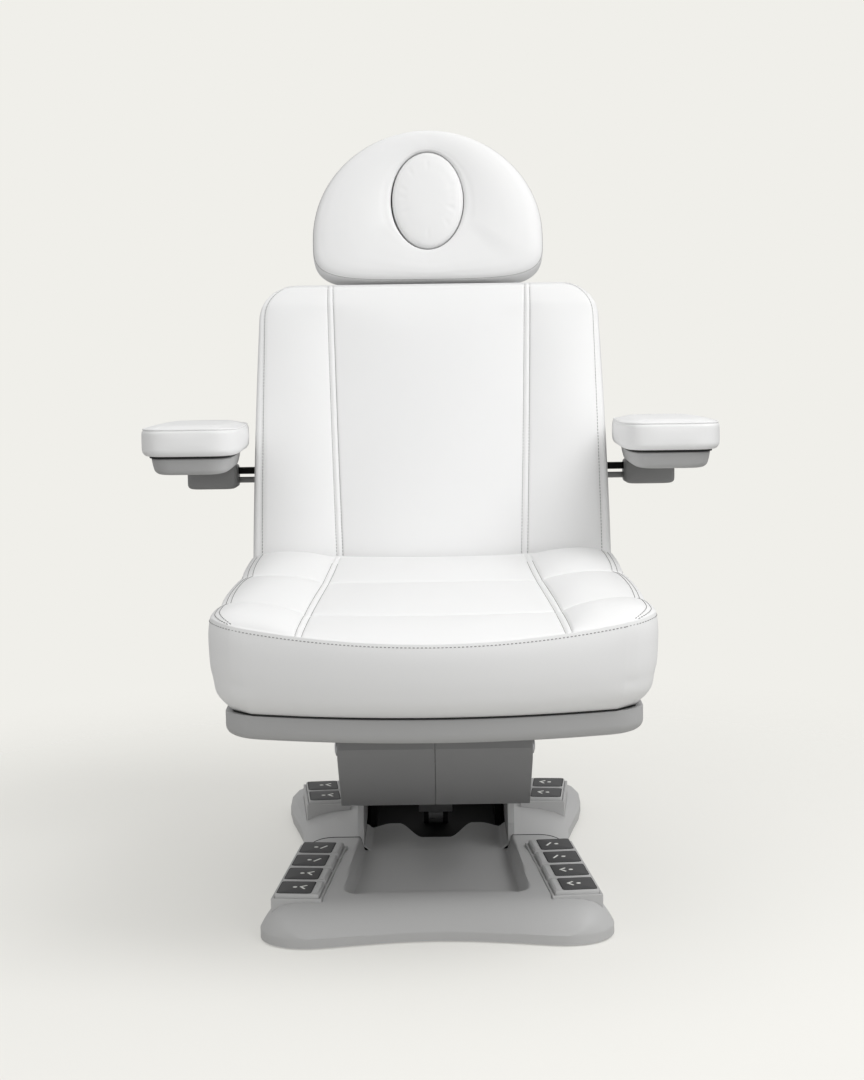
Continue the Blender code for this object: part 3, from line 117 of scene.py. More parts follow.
def setup(target, **settings):
    """Sets attributes by name."""
    for key, value in settings.items():
        setattr(target, key, value)


def placed(name, data):
    """A new object with that data, in the scene."""
    made = bpy.data.objects.new(name, data)
    bpy.context.scene.collection.objects.link(made)
    return made


def mesh_of(name, points, faces):
    """A mesh from points and faces, with its faces turned outwards."""
    mesh = bpy.data.meshes.new(name)
    mesh.from_pydata(points.tolist(), [], faces)
    work = bmesh.new()
    work.from_mesh(mesh)
    bmesh.ops.recalc_face_normals(work, faces=work.faces)
    work.to_mesh(mesh)
    work.free()
    return mesh


def skin(name, grids, finishes, body, stands_for=(), kinds=None, sharp=None):
    """One smooth object from grids, riding on a body and standing for the named solids."""
    points, _, faces, owner = weld(grids)
    mesh = mesh_of(name, points, faces)
    for coat in finishes if isinstance(finishes, list) else [finishes]:
        mesh.materials.append(coat)
    if kinds is not None:
        mesh.polygons.foreach_set("material_index", np.array(kinds)[owner])
    mesh.shade_smooth()
    if sharp:
        mesh.set_sharp_from_angle(angle=math.radians(sharp))
    made = placed(name, mesh)
    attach(made, body)
    if stands_for:
        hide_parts(*stands_for)
    print(f"{name}: {len(points)} points, {len(faces)} faces")
    return made


def weights(marks, wanted):
    """Matrix that reads values known at the marks off at the wanted places, with Hermite cubics."""
    marks, wanted = np.asarray(marks, float), np.asarray(wanted, float)
    unit = np.eye(len(marks))
    slope = np.gradient(unit, marks, axis=0)
    k = np.clip(np.searchsorted(marks, wanted, "right") - 1, 0, len(marks) - 2)
    step = (marks[k + 1] - marks[k])[:, None]
    q = (wanted - marks[k])[:, None] / step
    rise = q * q * (3 - 2 * q)
    ease = q * (1 - q) ** 2 * step * slope[k] - q * q * (1 - q) * step * slope[k + 1]
    return (1 - rise) * unit[k] + rise * unit[k + 1] + ease


def spread(marks, step, near=None):
    """Places from the first mark to the last, a step apart, or closer within reach of an inner mark."""
    around = (-REACH, 0, REACH) if near else (0,)
    ends = [marks[0], *(mark + off for mark in marks[1:-1] for off in around), marks[-1]]
    found = []
    for low, high in zip(ends, ends[1:]):
        pace = near if near and abs(high - low - REACH) < 1e-9 else step
        found.append(np.linspace(low, high, max(round((high - low) / pace), 1), endpoint=False))
    return np.append(np.concatenate(found), marks[-1])


def leaned(points, angle):
    """Points turned about X, so that what stands leans back."""
    c, s = math.cos(angle), math.sin(angle)
    x, y, z = np.moveaxis(points, -1, 0)
    return xyz(x, y * c + z * s, z * c - y * s)


def from_back(points):
    """Points of the backrest's own frame, leaning 18 degrees from its hinge, in the chair's frame."""
    return leaned(points, BACK_LEAN) + hinge


def normals(grid):
    """Unit normals of a grid, from the cross product of its two slopes."""
    across = np.cross(np.gradient(grid, axis=0), np.gradient(grid, axis=1))
    return across / np.maximum(np.linalg.norm(across, axis=-1, keepdims=True), 1e-12)


def loop(count, power=2.0, first=0.0):
    """The curve |x|^n + |y|^n = 1 once round, as two columns: cos^(2/n) and sin^(2/n) with their signs."""
    turn = np.linspace(first, first + 2 * np.pi, count)[:, None]
    c, s = np.cos(turn), np.sin(turn)
    return np.sign(c) * np.abs(c) ** (2 / power), np.sign(s) * np.abs(s) ** (2 / power)


# %% [markdown]
# ## Finishes
# The chair has few finishes: white coated fabric, four greys of moulded plastic with a spark-eroded grain,
# rubber on the keys, black powder coat and bright steel inside. Each is one Principled material, with
# grain at its real size in millimetres and slow changes of tone and gloss, because no moulded or coated
# face is quite even.


# %% Node helpers and the finishes
GLOSS_SPREAD, TONE_SCALE, GRAIN_STRENGTH = 0.06, 9.0, 0.6


def linear(code):
    """Linear RGBA of an sRGB hex code."""
    value = np.array([int(code[i : i + 2], 16) for i in (1, 3, 5)]) / 255
    return (*np.where(value <= 0.04045, value / 12.92, ((value + 0.055) / 1.055) ** 2.4), 1.0)


def wire(tree, node, sockets):
    """Sets sockets of a node, each to a constant or to the output of another node."""
    for key, value in sockets.items():
        if isinstance(value, bpy.types.NodeSocket):
            tree.links.new(value, node.inputs[key])
        else:
            node.inputs[key].default_value = value
    return node


def add(tree, kind, sockets=None, **settings):
    """Adds a node with those sockets and settings."""
    made = tree.nodes.new(kind)
    setup(made, **settings)
    return wire(tree, made, sockets or {})


def finish(name, code, rough=0.50, grain=0.6, depth=0.05, tone=0.02, metal=0.0, stretch=(1, 1, 1),
           cells=False, gleam=0.5):
    """A material with grain of that size and depth in mm. cells gives leather's pebbles, not a fine noise."""
    made = bpy.data.materials.new(name)
    made.use_nodes = True
    tree = made.node_tree
    place = add(tree, "ShaderNodeTexCoord").outputs["Object"]
    laid = add(tree, "ShaderNodeMapping", {"Vector": place, "Scale": stretch}).outputs["Vector"]
    fine = add(tree, "ShaderNodeTexNoise", {"Vector": laid, "Scale": 1000 / grain, "Detail": 3.0})
    height = fine.outputs["Fac"]
    if cells:
        pebble = add(tree, "ShaderNodeTexVoronoi", {"Vector": laid, "Scale": 1000 / grain, "Randomness": 0.9})
        pair = {0: height, 1: pebble.outputs["Distance"]}
        height = add(tree, "ShaderNodeMath", pair, operation="MULTIPLY").outputs[0]
    relief = {"Height": height, "Strength": GRAIN_STRENGTH, "Distance": depth / 1000}
    bump = add(tree, "ShaderNodeBump", relief)
    drift = {"Vector": place, "Scale": TONE_SCALE, "Detail": 4.0, "Roughness": 0.6}
    slow = add(tree, "ShaderNodeTexNoise", drift)
    colour = np.array(linear(code))[:3]
    deep, pale = (*(colour * (1 - tone)), 1), (*np.minimum(colour * (1 + tone), 1), 1)
    shade = add(tree, "ShaderNodeMix", {"Factor": slow.outputs["Fac"], 6: deep, 7: pale}, data_type="RGBA")
    span = {"Value": slow.outputs["Fac"], "To Min": rough - GLOSS_SPREAD, "To Max": rough + GLOSS_SPREAD}
    gloss = add(tree, "ShaderNodeMapRange", span)
    look = {"Base Color": shade.outputs[2], "Roughness": gloss.outputs["Result"],
            "Normal": bump.outputs["Normal"], "Metallic": metal, "Specular IOR Level": gleam}
    wire(tree, tree.nodes["Principled BSDF"], look)
    return made


# White polyurethane on a knit, with a fine pebble
leather = finish("white artificial leather", "#F0F0F0", 0.45, 1.1, 0.10, tone=0.012, cells=True)
# Sewing thread, greyer than the leather
thread = finish("grey polyester thread", "#8C8C8B", 0.65, 0.3, 0.05, tone=0.05)
# Moulded ABS of the covers
grey = finish("grey moulded ABS", "#BABABA")
# A shade deeper, of the seat pan and the armrest shells
tray_grey = finish("grey formed ABS", "#B0B0B0")
# Deeper still, of the armrest hubs
arm_grey = finish("mid grey moulded ABS", "#8A8A8A")
# The shroud and the motor housings
dark = finish("dark grey moulded ABS", "#8E8E8F", 0.48, tone=0.03)
# Soft key faces
rubber_key = finish("dark key rubber", "#4A4A4B", 0.60, 0.5, 0.06, tone=0.05)
# Rubber feet, and painted shade in gaps: the seat's foot, under the pads, the covers' seam, round the keys
rubber = finish("black rubber", "#1B1B1B", 0.75, 0.8, 0.08, tone=0.08)
# Pad-printed pictograms
print_white = finish("white pad print", "#F2F2EE", 0.55, 0.4, 0.01)
# Powder coat on the frame, with orange peel
powder = finish("black powder coat", "#0B0B0C", 0.65, 1.6, 0.04, tone=0.06, gleam=0.2)
# Drawn steel of axles, rods and posts
steel = finish("bright drawn steel", "#B9BABD", 0.28, 0.5, 0.02, metal=1.0, tone=0.05, stretch=(0.05, 1, 1))
# Primed plywood, its grain showing through along the board
ply = finish("grey primed plywood", "#8F8B86", 0.65, 1.5, 0.08, tone=0.10, stretch=(1, 1, 0.06))

by_slot = {"white_leather": leather, "grey_plastic": grey, "dark_plastic": dark, "black_steel": powder,
           "bright_steel": steel, "rubber": rubber, "plywood": ply}
for node in nodes.values():
    for place in node.material_slots:
        place.material = by_slot[place.material.name.split(".")[0]]
print(f"{len(by_slot)} finishes on {len(nodes)} solids")

# %% [markdown]
# ## Camera, light and floor
# The photograph was taken with a long lens from a little above the seat, in a white room: broad soft light
# from above and a faint shadow on the left. The world gives the even light, one large lamp gives the
# direction, and the floor fades into the white of the room.

# %% Camera, lamps and floor
scene = bpy.context.scene
setup(scene.view_settings, view_transform="Standard", look="None")
camera = placed("camera", bpy.data.cameras.new("camera"))
setup(camera.data, sensor_fit="VERTICAL", sensor_height=36, lens=75.77)
camera.matrix_world = (Matrix.Translation((0, shift - 3.6, 1.0)) @ Matrix.Rotation(math.radians(82.5), 4, "X")
                       @ Matrix.Rotation(math.radians(-0.8), 4, "Z"))
scene.camera = camera


def lamp(name, place, size, power):
    """A square area lamp that faces the chair."""
    made = placed(name, bpy.data.lights.new(name, "AREA"))
    setup(made.data, size=size, energy=power)
    toward = Vector((0, 0, 0.5)) - Vector(place)
    setup(made, location=place, rotation_euler=toward.to_track_quat("-Z", "Y").to_euler())


lamp("key", (1.7, -1.1, 2.9), 2.0, 44)
lamp("fill", (-2.4, -1.8, 1.8), 2.0, 5)
lamp("front", (1.5, -3.3, 1.2), 1.6, 14)

room = bpy.data.worlds.new("white room")
scene.world = room
room.use_nodes = True
tree = room.node_tree
tree.nodes.clear()
seen = add(tree, "ShaderNodeLightPath").outputs["Is Camera Ray"]
ray = add(tree, "ShaderNodeSeparateXYZ", {0: add(tree, "ShaderNodeTexCoord").outputs["Generated"]})
span = {"Value": ray.outputs["Z"], "From Min": -0.5, "From Max": 0.8, "To Min": 0.26, "To Max": 0.82}
above = add(tree, "ShaderNodeMapRange", span)
even = add(tree, "ShaderNodeBackground", {"Color": linear("#F5F5F4"), "Strength": above.outputs["Result"]})
paper = add(tree, "ShaderNodeBackground", {"Color": linear("#F0EFEA"), "Strength": 1.0})
both = add(tree, "ShaderNodeMixShader", {0: seen, 1: even.outputs[0], 2: paper.outputs[0]})
add(tree, "ShaderNodeOutputWorld", {"Surface": both.outputs[0]})

across = np.linspace(-4, 4, 41)
points, _, faces, _ = weld([xyz(across[:, None], across[None], -0.0005)])
floor = placed("floor", mesh_of("floor", points, faces))
paint = bpy.data.materials.new("white floor")
paint.use_nodes = True
tree = paint.node_tree
tree.nodes.clear()
place = add(tree, "ShaderNodeTexCoord").outputs["Object"]
away = add(tree, "ShaderNodeVectorMath", {0: place}, operation="LENGTH")
fade = add(tree, "ShaderNodeMapRange", {"Value": away.outputs["Value"], "From Min": 0.7, "From Max": 1.7},
           interpolation_type="SMOOTHSTEP")
matt = add(tree, "ShaderNodeBsdfDiffuse", {"Color": linear("#F3F2EE")})
seen = add(tree, "ShaderNodeLightPath").outputs["Is Camera Ray"]
shine = add(tree, "ShaderNodeMapRange", {"Value": seen, "To Min": 0.3, "To Max": 1.0}).outputs["Result"]
glow = add(tree, "ShaderNodeEmission", {"Color": linear("#F0EFEA"), "Strength": shine})
lit = add(tree, "ShaderNodeMixShader", {0: 0.4, 1: matt.outputs[0], 2: glow.outputs[0]})
clear = add(tree, "ShaderNodeBsdfTransparent")
mixed = add(tree, "ShaderNodeMixShader", {0: fade.outputs["Result"], 1: lit.outputs[0], 2: clear.outputs[0]})
add(tree, "ShaderNodeOutputMaterial", {"Surface": mixed.outputs[0]})
floor.data.materials.append(paint)
print("camera at", [round(v, 3) for v in camera.location])

# %% [markdown]
# ## How the upholstery is made
# A cushion is foam under sewn panels. The foam pushes the cover out, and seams, creases and the lower edge
# hold it back. So each cushion starts as a coarse grid in its cut shape and is blown up by a short cloth
# simulation with its seams held. Then it is read off on a finer grid, where the sewn channels are pressed
# in and threads laid.


# %% Blow up a cushion, and sew
FRAMES, SWELL = 20, 0.006
CLOTH = dict(quality=5, mass=0.3, tension_stiffness=15, compression_stiffness=15, bending_stiffness=0.5,
             use_pressure=True, uniform_pressure_force=4.0, vertex_group_mass="held")
STITCH_PITCH, STITCH, SHORT_STITCH = 0.0055, 0.0048, 0.0038
THREAD_RADIUS, THREAD_OFF = 0.0006, 0.0045


def inflate(grids, held, limit):
    """The grids after 20 frames as a cloth blown up from inside, no point moved further than the limit."""
    points, same, faces, _ = weld(grids)
    mesh = mesh_of("blown", points, faces)
    blown = placed("blown", mesh)
    grip = np.zeros(len(points))
    np.maximum.at(grip, same, np.concatenate([hold.reshape(-1) for hold in held]))
    group = blown.vertex_groups.new(name="held")
    for share in np.unique(grip[grip > 0]):
        group.add(np.flatnonzero(grip == share).tolist(), float(share), "REPLACE")
    cloth = blown.modifiers.new("cloth", "CLOTH")
    setup(cloth.settings, **CLOTH)
    cloth.settings.effector_weights.gravity = 0
    cloth.collision_settings.use_collision = False
    cloth.point_cache.frame_start, cloth.point_cache.frame_end = 1, FRAMES
    for number in range(1, FRAMES + 1):
        scene.frame_set(number)
    shown = blown.evaluated_get(bpy.context.evaluated_depsgraph_get()).to_mesh()
    after = np.empty(len(points) * 3, np.float32)
    shown.vertices.foreach_get("co", after)
    move = after.reshape(-1, 3).astype(float) - points
    length = np.linalg.norm(move, axis=1, keepdims=True)
    move *= np.minimum(1, limit / np.maximum(length, 1e-9))
    print(f"blown up: {len(points)} points, moved {1000 * length.max():.1f} mm at most")
    bpy.data.objects.remove(blown)
    bpy.data.meshes.remove(mesh)
    scene.frame_set(1)
    after = (points + move)[same]
    ends = np.cumsum([grid.shape[0] * grid.shape[1] for grid in grids])[:-1]
    return [part.reshape(grid.shape) for part, grid in zip(np.split(after, ends), grids)]


def blow_rings(grid, held, limit):
    """A fine loft moved as its every fourth ring point and third row move when blown up, marked rows held."""
    coarse = grid[::4, ::3]
    move = inflate([coarse], [np.broadcast_to(1.0 * held[::3], coarse.shape[:2])], limit)[0] - coarse
    n, m = (np.arange(size) for size in grid.shape[:2])
    return grid + np.einsum("ai,bj,ijc->abc", weights(n[::4], n), weights(m[::3], m), move)


def run_along(path):
    """Length along a path of points, from its first point to each."""
    return np.append(0, np.cumsum(np.linalg.norm(np.diff(path, axis=0), axis=1)))


def read_off(wanted, run, values):
    """Values known along a run, read off at the wanted places by straight lines."""
    return np.stack([np.interp(wanted, run, values[:, c]) for c in range(3)], -1)


def stitches(grid, u, v, lines, outward, length=STITCH):
    """Threads along lines over a grid: capsules a pitch apart, their ends sunk into the leather.

    A line is two arrays of places (u, v). A thread is centre + x * along + r * (cos b * beside + sin b * up),
    with x from -1/2 to 1/2 of its length and r = radius * sqrt(1 - (2x)^6).
    """
    facing = normals(grid)
    facing *= np.sign((facing @ outward).mean())
    x = np.linspace(-0.5, 0.5, 7)
    turn = np.linspace(0, 2 * np.pi, 7)
    r = THREAD_RADIUS * np.sqrt(1 - np.abs(2 * x) ** 6)
    lift = THREAD_RADIUS * (0.5 - 1.2 * np.abs(2 * x) ** 3)
    made = []
    for line_u, line_v in lines:
        wu, wv = weights(u, line_u), weights(v, line_v)
        path = np.einsum("ki,kj,ijc->kc", wu, wv, grid)
        face = np.einsum("ki,kj,ijc->kc", wu, wv, facing)
        run = run_along(path)
        at = np.arange(STITCH_PITCH / 2, run[-1], STITCH_PITCH)
        centre, up = read_off(at, run, path), read_off(at, run, face)
        along = read_off(at + 0.001, run, path) - read_off(at - 0.001, run, path)
        along /= np.linalg.norm(along, axis=1, keepdims=True)
        beside = np.cross(along, up)
        made.append(centre[:, None, None] + length * x[:, None, None] * along[:, None, None]
                    + (r[:, None] * np.cos(turn))[..., None] * beside[:, None, None]
                    + (r[:, None] * np.sin(turn) + lift[:, None])[..., None] * up[:, None, None])
    return list(np.concatenate(made))


def mirrored(places, run):
    """Lines (u, v) along a run, one at each place u and its mirror image."""
    return [(np.full(len(run), side * place), run) for side in (-1, 1) for place in places]


def soft_step(value):
    """0 below 0, 1 above 1, and t^2 * (3 - 2t) between."""
    value = np.clip(value, 0, 1)
    return value * value * (3 - 2 * value)


def groove(distance, width, depth):
    """A pressed-in line: minus depth * exp(-(distance / width)^2)."""
    return -depth * np.exp(-((distance / width) ** 2))


def sewn_seam(distance):
    """A seam sewn down on both sides: a groove under each thread, and the band between them left full."""
    return groove(distance - THREAD_OFF, 0.0013, 0.0026) - groove(distance, 0.0026, 0.0010)


def cut_corner(share, radius):
    """How far a round corner draws the side in: radius * (1 - sqrt(1 - share^2))."""
    return radius * (1 - np.sqrt(1 - np.clip(share, 0, 1) ** 2))


def ease_corners(places, radius, count, both=True):
    """Closer places within a corner's radius of the last end, or of both, spaced evenly along its arc."""
    arc = radius * (1 - np.cos(np.linspace(0, np.pi / 2, count)))
    low, high = places[0], places[-1]
    inner = places[places < high - radius - 1e-4]
    if both:
        inner = np.append(low + arc, inner[inner > low + radius + 1e-4])
    return np.append(inner, high - arc[::-1])


def panels(value, marks, power):
    """1 in the middle of a sewn panel and 0 at its seams: 1 - |share|^power."""
    marks = np.asarray(marks)
    k = np.clip(np.searchsorted(marks, value, "right") - 1, 0, len(marks) - 2)
    share = (2 * value - marks[k] - marks[k + 1]) / (marks[k + 1] - marks[k])
    return 1 - np.abs(share) ** power


def fill_in(front, rear, left, right):
    """Coons patch inside four edges, which closes the back of a cushion."""
    a = np.linspace(0, 1, len(front))[:, None, None]
    b = np.linspace(0, 1, len(left))[None, :, None]
    ruled = (1 - b) * front[:, None] + b * rear[:, None] + (1 - a) * left[None] + a * right[None]
    corner = (1 - a) * ((1 - b) * front[0] + b * rear[0]) + a * ((1 - b) * front[-1] + b * rear[-1])
    return ruled - corner


def on_marks(value, marks):
    """Whether a value lies on one of the marks."""
    return np.abs(value[..., None] - np.asarray(marks)).min(-1) < 1e-6


def boxed(face, side, u, v, k, held, fine_u, fine_v, fine_k):
    """A boxed cushion from its face and side formulas, blown up on coarse places, read off on fine ones.

    held is 1 where the face is held, as on its edges and seams, less on creases, and 0 elsewhere.
    """
    low_u, high_u, low_v, high_v = u[:1], u[-1:], v[:1], v[-1:]
    grids = [face(u[:, None], v[None])]
    for edge_u, edge_v in ((u, low_v), (u, high_v), (low_u, v), (high_u, v)):
        grids.append(side((edge_u + 0 * edge_v)[:, None], (edge_v + 0 * edge_u)[:, None], k[None]))
    grids.append(fill_in(*(grid[:, -1] for grid in grids[1:])))
    ends = 1.0 * on_marks(k, (0, 1))
    grip = [held, *(np.tile(ends, (len(grid), 1)) for grid in grids[1:5]), np.ones(grids[5].shape[:2])]
    grids = inflate(grids, grip, SWELL)
    wu, wv, wk = weights(u, fine_u), weights(v, fine_v), weights(k, fine_k)
    fine = [np.einsum("ai,bj,ijc->abc", wu, wv, grids[0])]
    for grid, across in zip(grids[1:5], (wu, wu, wv, wv)):
        fine.append(np.einsum("ai,bj,ijc->abc", across, wk, grid))
    fine.append(fill_in(*(grid[:, -1] for grid in fine[1:])))
    return fine


# %% [markdown]
# ## Seat cushion
# Three columns and three rows, the outer columns raised as bolsters. Long seams are sewn down on both
# sides, which shows as two lines of thread with a flat band between them. The rows are only creased. The
# front is one boxed strip with a seam along its upper edge, drawn in where it meets the pan.

# %% The seat cushion
FRONT_HALF, REAR_HALF = 0.307, 0.288
SEAT_FRONT, SEAT_REAR, SEAT_BOW = shift - 0.610, shift + 0.060, 0.062
SEAT_LONG = SEAT_REAR - SEAT_FRONT
SEAT_SEAM, SEAT_ROUND = 0.174, 0.045
SEAT_ROWS = (shift - 0.460 - SEAT_FRONT, shift - 0.165 - SEAT_FRONT)
SEAT_COLUMNS = (-FRONT_HALF, -SEAT_SEAM, SEAT_SEAM, FRONT_HALF)
SEAT_MARKS = (0, *SEAT_ROWS, SEAT_LONG)
SEAT_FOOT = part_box("seat_pan")[1].z + 0.0030
SIDE_SHARE = (0, 0.08, 0.35, 0.65, 0.88, 1)
SIDE_OUT = (0, 0.002, 0.003, -0.001, -0.011, -0.028)


def side_profile(k):
    """How far the boxing stands out at share k of its way from the face."""
    return (weights(SIDE_SHARE, k.ravel()) @ SIDE_OUT).reshape(k.shape)


def seat_plan(u, v):
    """Place (x, y) and rim height z of a point u across and v back, and how far it lies in a corner."""
    s = u / FRONT_HALF
    forward = 1 - v / SEAT_LONG
    corner = np.clip((np.abs(v - SEAT_LONG / 2) - SEAT_LONG / 2) / SEAT_ROUND + 1, 0, 1)
    half = REAR_HALF + (FRONT_HALF - REAR_HALF) * forward
    outer = np.clip((np.abs(u) - SEAT_SEAM) / (FRONT_HALF - SEAT_SEAM), 0, 1) ** 1.5
    flare = 0.018 * (forward - 0.5) * (1 - (2 * np.abs(s) - 1) ** 4)
    puff = 0.004 * outer * (panels(v, SEAT_MARKS, 2.4) - 0.6)
    x = half * s + np.sign(s) * (flare + puff - outer * cut_corner(corner, SEAT_ROUND))
    wide = (x / FRONT_HALF) ** 2
    y = SEAT_REAR + (SEAT_FRONT + SEAT_BOW * wide - SEAT_REAR) * forward
    z = 0.479 + 0.012 * wide - 0.013 * forward**6 * (1 - wide) + 0.010 * np.clip(1 - forward / 0.4, 0, 1) ** 2
    return x, y, z, forward, corner


def seat_face(u, v):
    """The quilted face: crown * (1 - |p|^n) across each column times (1 - |q|^m) along each row."""
    x, y, z, forward, _ = seat_plan(u, v)
    y = y + 0.014 * np.maximum(1 - 2 * forward, 0) ** 6
    column = panels(u, SEAT_COLUMNS, 2.6)
    row = panels(v, SEAT_MARKS, 2.4)
    whole = panels(v, (0, SEAT_LONG), 16)
    outer = np.abs(u) > SEAT_SEAM
    crown = np.where(outer, 0.019 * (0.40 * whole + 0.60 * row), 0.010 * (0.35 * whole + 0.65 * row))
    return xyz(x, y, z + crown * column)


def seat_side(u, v, k):
    """The boxing: rim moved outwards by the side profile while it falls to the pan."""
    x, y, z, forward, corner = seat_plan(u, v)
    out = side_profile(k)
    bow = np.where(forward > 0.5, 2 * SEAT_BOW * x / FRONT_HALF**2, 0)
    beside = np.sign(u) * np.sqrt(1 - corner**2) + corner * bow / np.hypot(1, bow)
    ahead = np.where(forward > 0.5, -corner / np.hypot(1, bow), corner * (out < 0))
    y = y + 0.014 * np.maximum(1 - k / 0.4, 0) * np.maximum(1 - 2 * forward, 0) ** 6
    return xyz(x + out * beside, y + out * ahead, z + (SEAT_FOOT - z) * k)


rough_u = spread(SEAT_COLUMNS, 0.0105)
rough_v = ease_corners(spread(SEAT_MARKS, 0.0105), SEAT_ROUND, 8)
fine_u = spread(SEAT_COLUMNS, 0.005, 0.0011)
fine_v = ease_corners(spread(SEAT_MARKS, 0.005, 0.0014), SEAT_ROUND, 18)
fine_k = np.unique(np.concatenate([np.linspace(0, 0.12, 13), np.linspace(0.12, 1, 26)]))
u, v = rough_u[:, None], rough_v[None]
held = np.where(on_marks(u, SEAT_COLUMNS) | on_marks(v, (0, SEAT_LONG)), 1.0, 0.6 * on_marks(v, SEAT_ROWS))
rough_k = np.linspace(0, 1, 13)
seat_grids = boxed(seat_face, seat_side, rough_u, rough_v, rough_k, held, fine_u, fine_v, fine_k)
u, v = fine_u[:, None], fine_v[None]
seam = np.abs(np.abs(u) - SEAT_SEAM)
edge = np.minimum(FRONT_HALF - np.abs(u), np.minimum(v, SEAT_LONG - v))
press = sewn_seam(seam) + sum(groove(v - row, 0.0032, 0.0030) for row in SEAT_ROWS)
press = (press - 0.0035 * np.maximum(1 - edge / 0.012, 0) ** 2) * np.minimum(1, edge / 0.003)
seat_grids[0][..., 2] += press
seat = skin("seat_upholstery", seat_grids, leather, "seat", ["seat_cushion"])
run_v = np.linspace(0.006, SEAT_LONG - 0.05, 120)
lines = mirrored((SEAT_SEAM - THREAD_OFF, SEAT_SEAM + THREAD_OFF), run_v)
lines += mirrored((FRONT_HALF - 0.008, FRONT_HALF - 0.016), run_v)
sewn = stitches(seat_grids[0], fine_u, fine_v, lines, (0, 0, 1))
front_u = np.linspace(-FRONT_HALF, FRONT_HALF, 200)
boxing = np.full(200, 0.045)
sewn += stitches(seat_grids[1], fine_u, fine_k, [(front_u, boxing)], (0, -1, 0), length=SHORT_STITCH)
side_v = np.linspace(0, SEAT_LONG - 0.05, 200)
for grid, side in ((seat_grids[3], -1), (seat_grids[4], 1)):
    sewn += stitches(grid, fine_v, fine_k, [(side_v, boxing)], (side, 0, 0), length=SHORT_STITCH)
skin("seat_stitching", sewn, thread, "seat")
# A thin black band on the pan round the cushion's foot: painted shadow for the gap where the cushion meets
# the pan
front, rear, left, right = (grid[:, -1] for grid in seat_grids[1:5])
foot = np.concatenate([front, right[1:], rear[-2::-1], left[-2::-1]])
middle = foot.mean(0)
rise = np.array([0, 0, SEAT_FOOT - 0.0002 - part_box("seat_pan")[1].z - 0.0003])
inner = middle + (foot - middle) * [0.96, 0.96, 1]
band = [foot - rise, foot, inner, inner - rise]
skin("seat_edge_band", [np.stack([*band, band[0]], 1) - [0, 0, 0.0002]], rubber, "seat", sharp=40)

# %% [markdown]
# ## Backrest cushion
# One tall cushion on a board, with two long seams sewn down on both sides. Its foot is cut back to clear
# the hinge, its upper corners are round, and its face is only gently crowned.

# %% The backrest cushion
BACK_HALF, BACK_TOP_HALF = 0.2925, 0.281
BACK_TOP, BACK_FOOT, BACK_HEEL = 0.545, -0.034, 0.036
BACK_THICK, BACK_SEAM, BACK_ROUND = 0.092, 0.1595, 0.060
EDGE_THREAD, TOP_PROUD = 0.011, 0.0015
BACK_LONG = BACK_TOP - BACK_FOOT
BACK_COLUMNS = (-BACK_HALF, -BACK_SEAM, BACK_SEAM, BACK_HALF)


def back_plan(u, v, k):
    """Place (x, z) and thickness of a point u across and v up, at share k of the way to the board."""
    s, upward = u / BACK_HALF, v / BACK_LONG
    corner = np.clip((v - BACK_LONG) / BACK_ROUND + 1, 0, 1)
    foot = BACK_FOOT + (BACK_HEEL - BACK_FOOT) * k
    z = foot + (BACK_TOP - foot) * upward
    half = BACK_HALF + (BACK_TOP_HALF - BACK_HALF) * np.clip(z / BACK_TOP, 0, 1) ** 1.5
    outer = np.clip((np.abs(u) - BACK_SEAM) / (BACK_HALF - BACK_SEAM), 0, 1) ** 1.5
    flare = 0.025 * (upward - 0.5) * (1 - (2 * np.abs(s) - 1) ** 4)
    x = half * s + np.sign(s) * (flare - outer * cut_corner(corner, BACK_ROUND))
    thick = BACK_THICK - 0.012 * np.maximum(upward - 0.94, 0) / 0.06
    return x, z, thick, corner


def foot_arc(z):
    """Reach of the arc about the hinge that rounds the foot: sqrt(r^2 - z^2)."""
    return np.sqrt(np.maximum(BACK_THICK**2 + BACK_FOOT**2 - z**2, 0))


def back_face(u, v):
    """The face: thickness plus 8 mm * (1 - |p|^3) across each panel, and no further than the foot's arc."""
    x, z, thick, _ = back_plan(u, v, 0)
    front = thick + 0.008 * panels(u, BACK_COLUMNS, 3.0) * panels(v, (0, BACK_LONG), 5)
    front = np.where(z < 0.02, np.minimum(front, foot_arc(z)), front)
    return xyz(x, -front, z)


def back_side(u, v, k):
    """The boxing, from the face's edge to the board."""
    x, z, thick, corner = back_plan(u, v, k)
    out = 0.6 * side_profile(k)
    rim = (np.abs(np.abs(u) - BACK_HALF) < 1e-9) | (np.abs(v - BACK_LONG) < 1e-9)
    front = np.where((z < 0.02) & (k == 0), np.minimum(thick, foot_arc(z)), thick)
    x, z = x + rim * out * np.sign(u) * np.sqrt(1 - corner**2), z + rim * out * corner
    return xyz(x, -front * (1 - k) - 0.0003 * k, z)


rough_u = spread(BACK_COLUMNS, 0.0105)
rough_v = ease_corners(spread((0, BACK_LONG), 0.0105), BACK_ROUND, 9, both=False)
fine_u = spread(BACK_COLUMNS, 0.005, 0.0011)
fine_v = ease_corners(spread((0, BACK_LONG), 0.005), BACK_ROUND, 20, both=False)
fine_k = np.unique(np.concatenate([np.linspace(0, 0.12, 9), np.linspace(0.12, 1, 22)]))
held = 1.0 * (on_marks(rough_u[:, None], BACK_COLUMNS) | on_marks(rough_v[None], (0, BACK_LONG)))
rough_k = np.linspace(0, 1, 10)
back_grids = boxed(back_face, back_side, rough_u, rough_v, rough_k, held, fine_u, fine_v, fine_k)
u, v = fine_u[:, None], fine_v[None]
seam = np.abs(np.abs(u) - BACK_SEAM) + 0 * v
edge = np.minimum(BACK_HALF - np.abs(u), np.minimum(v, BACK_LONG - v))
press = sewn_seam(seam) + groove(BACK_HALF - np.abs(u) - EDGE_THREAD, 0.0013, 0.0022)
press = (press - 0.004 * np.maximum(1 - edge / 0.014, 0) ** 2) * np.minimum(1, edge / 0.003)
outward = normals(back_grids[0])
back_grids[0] += press[..., None] * outward * np.sign(-outward[..., 1].mean())
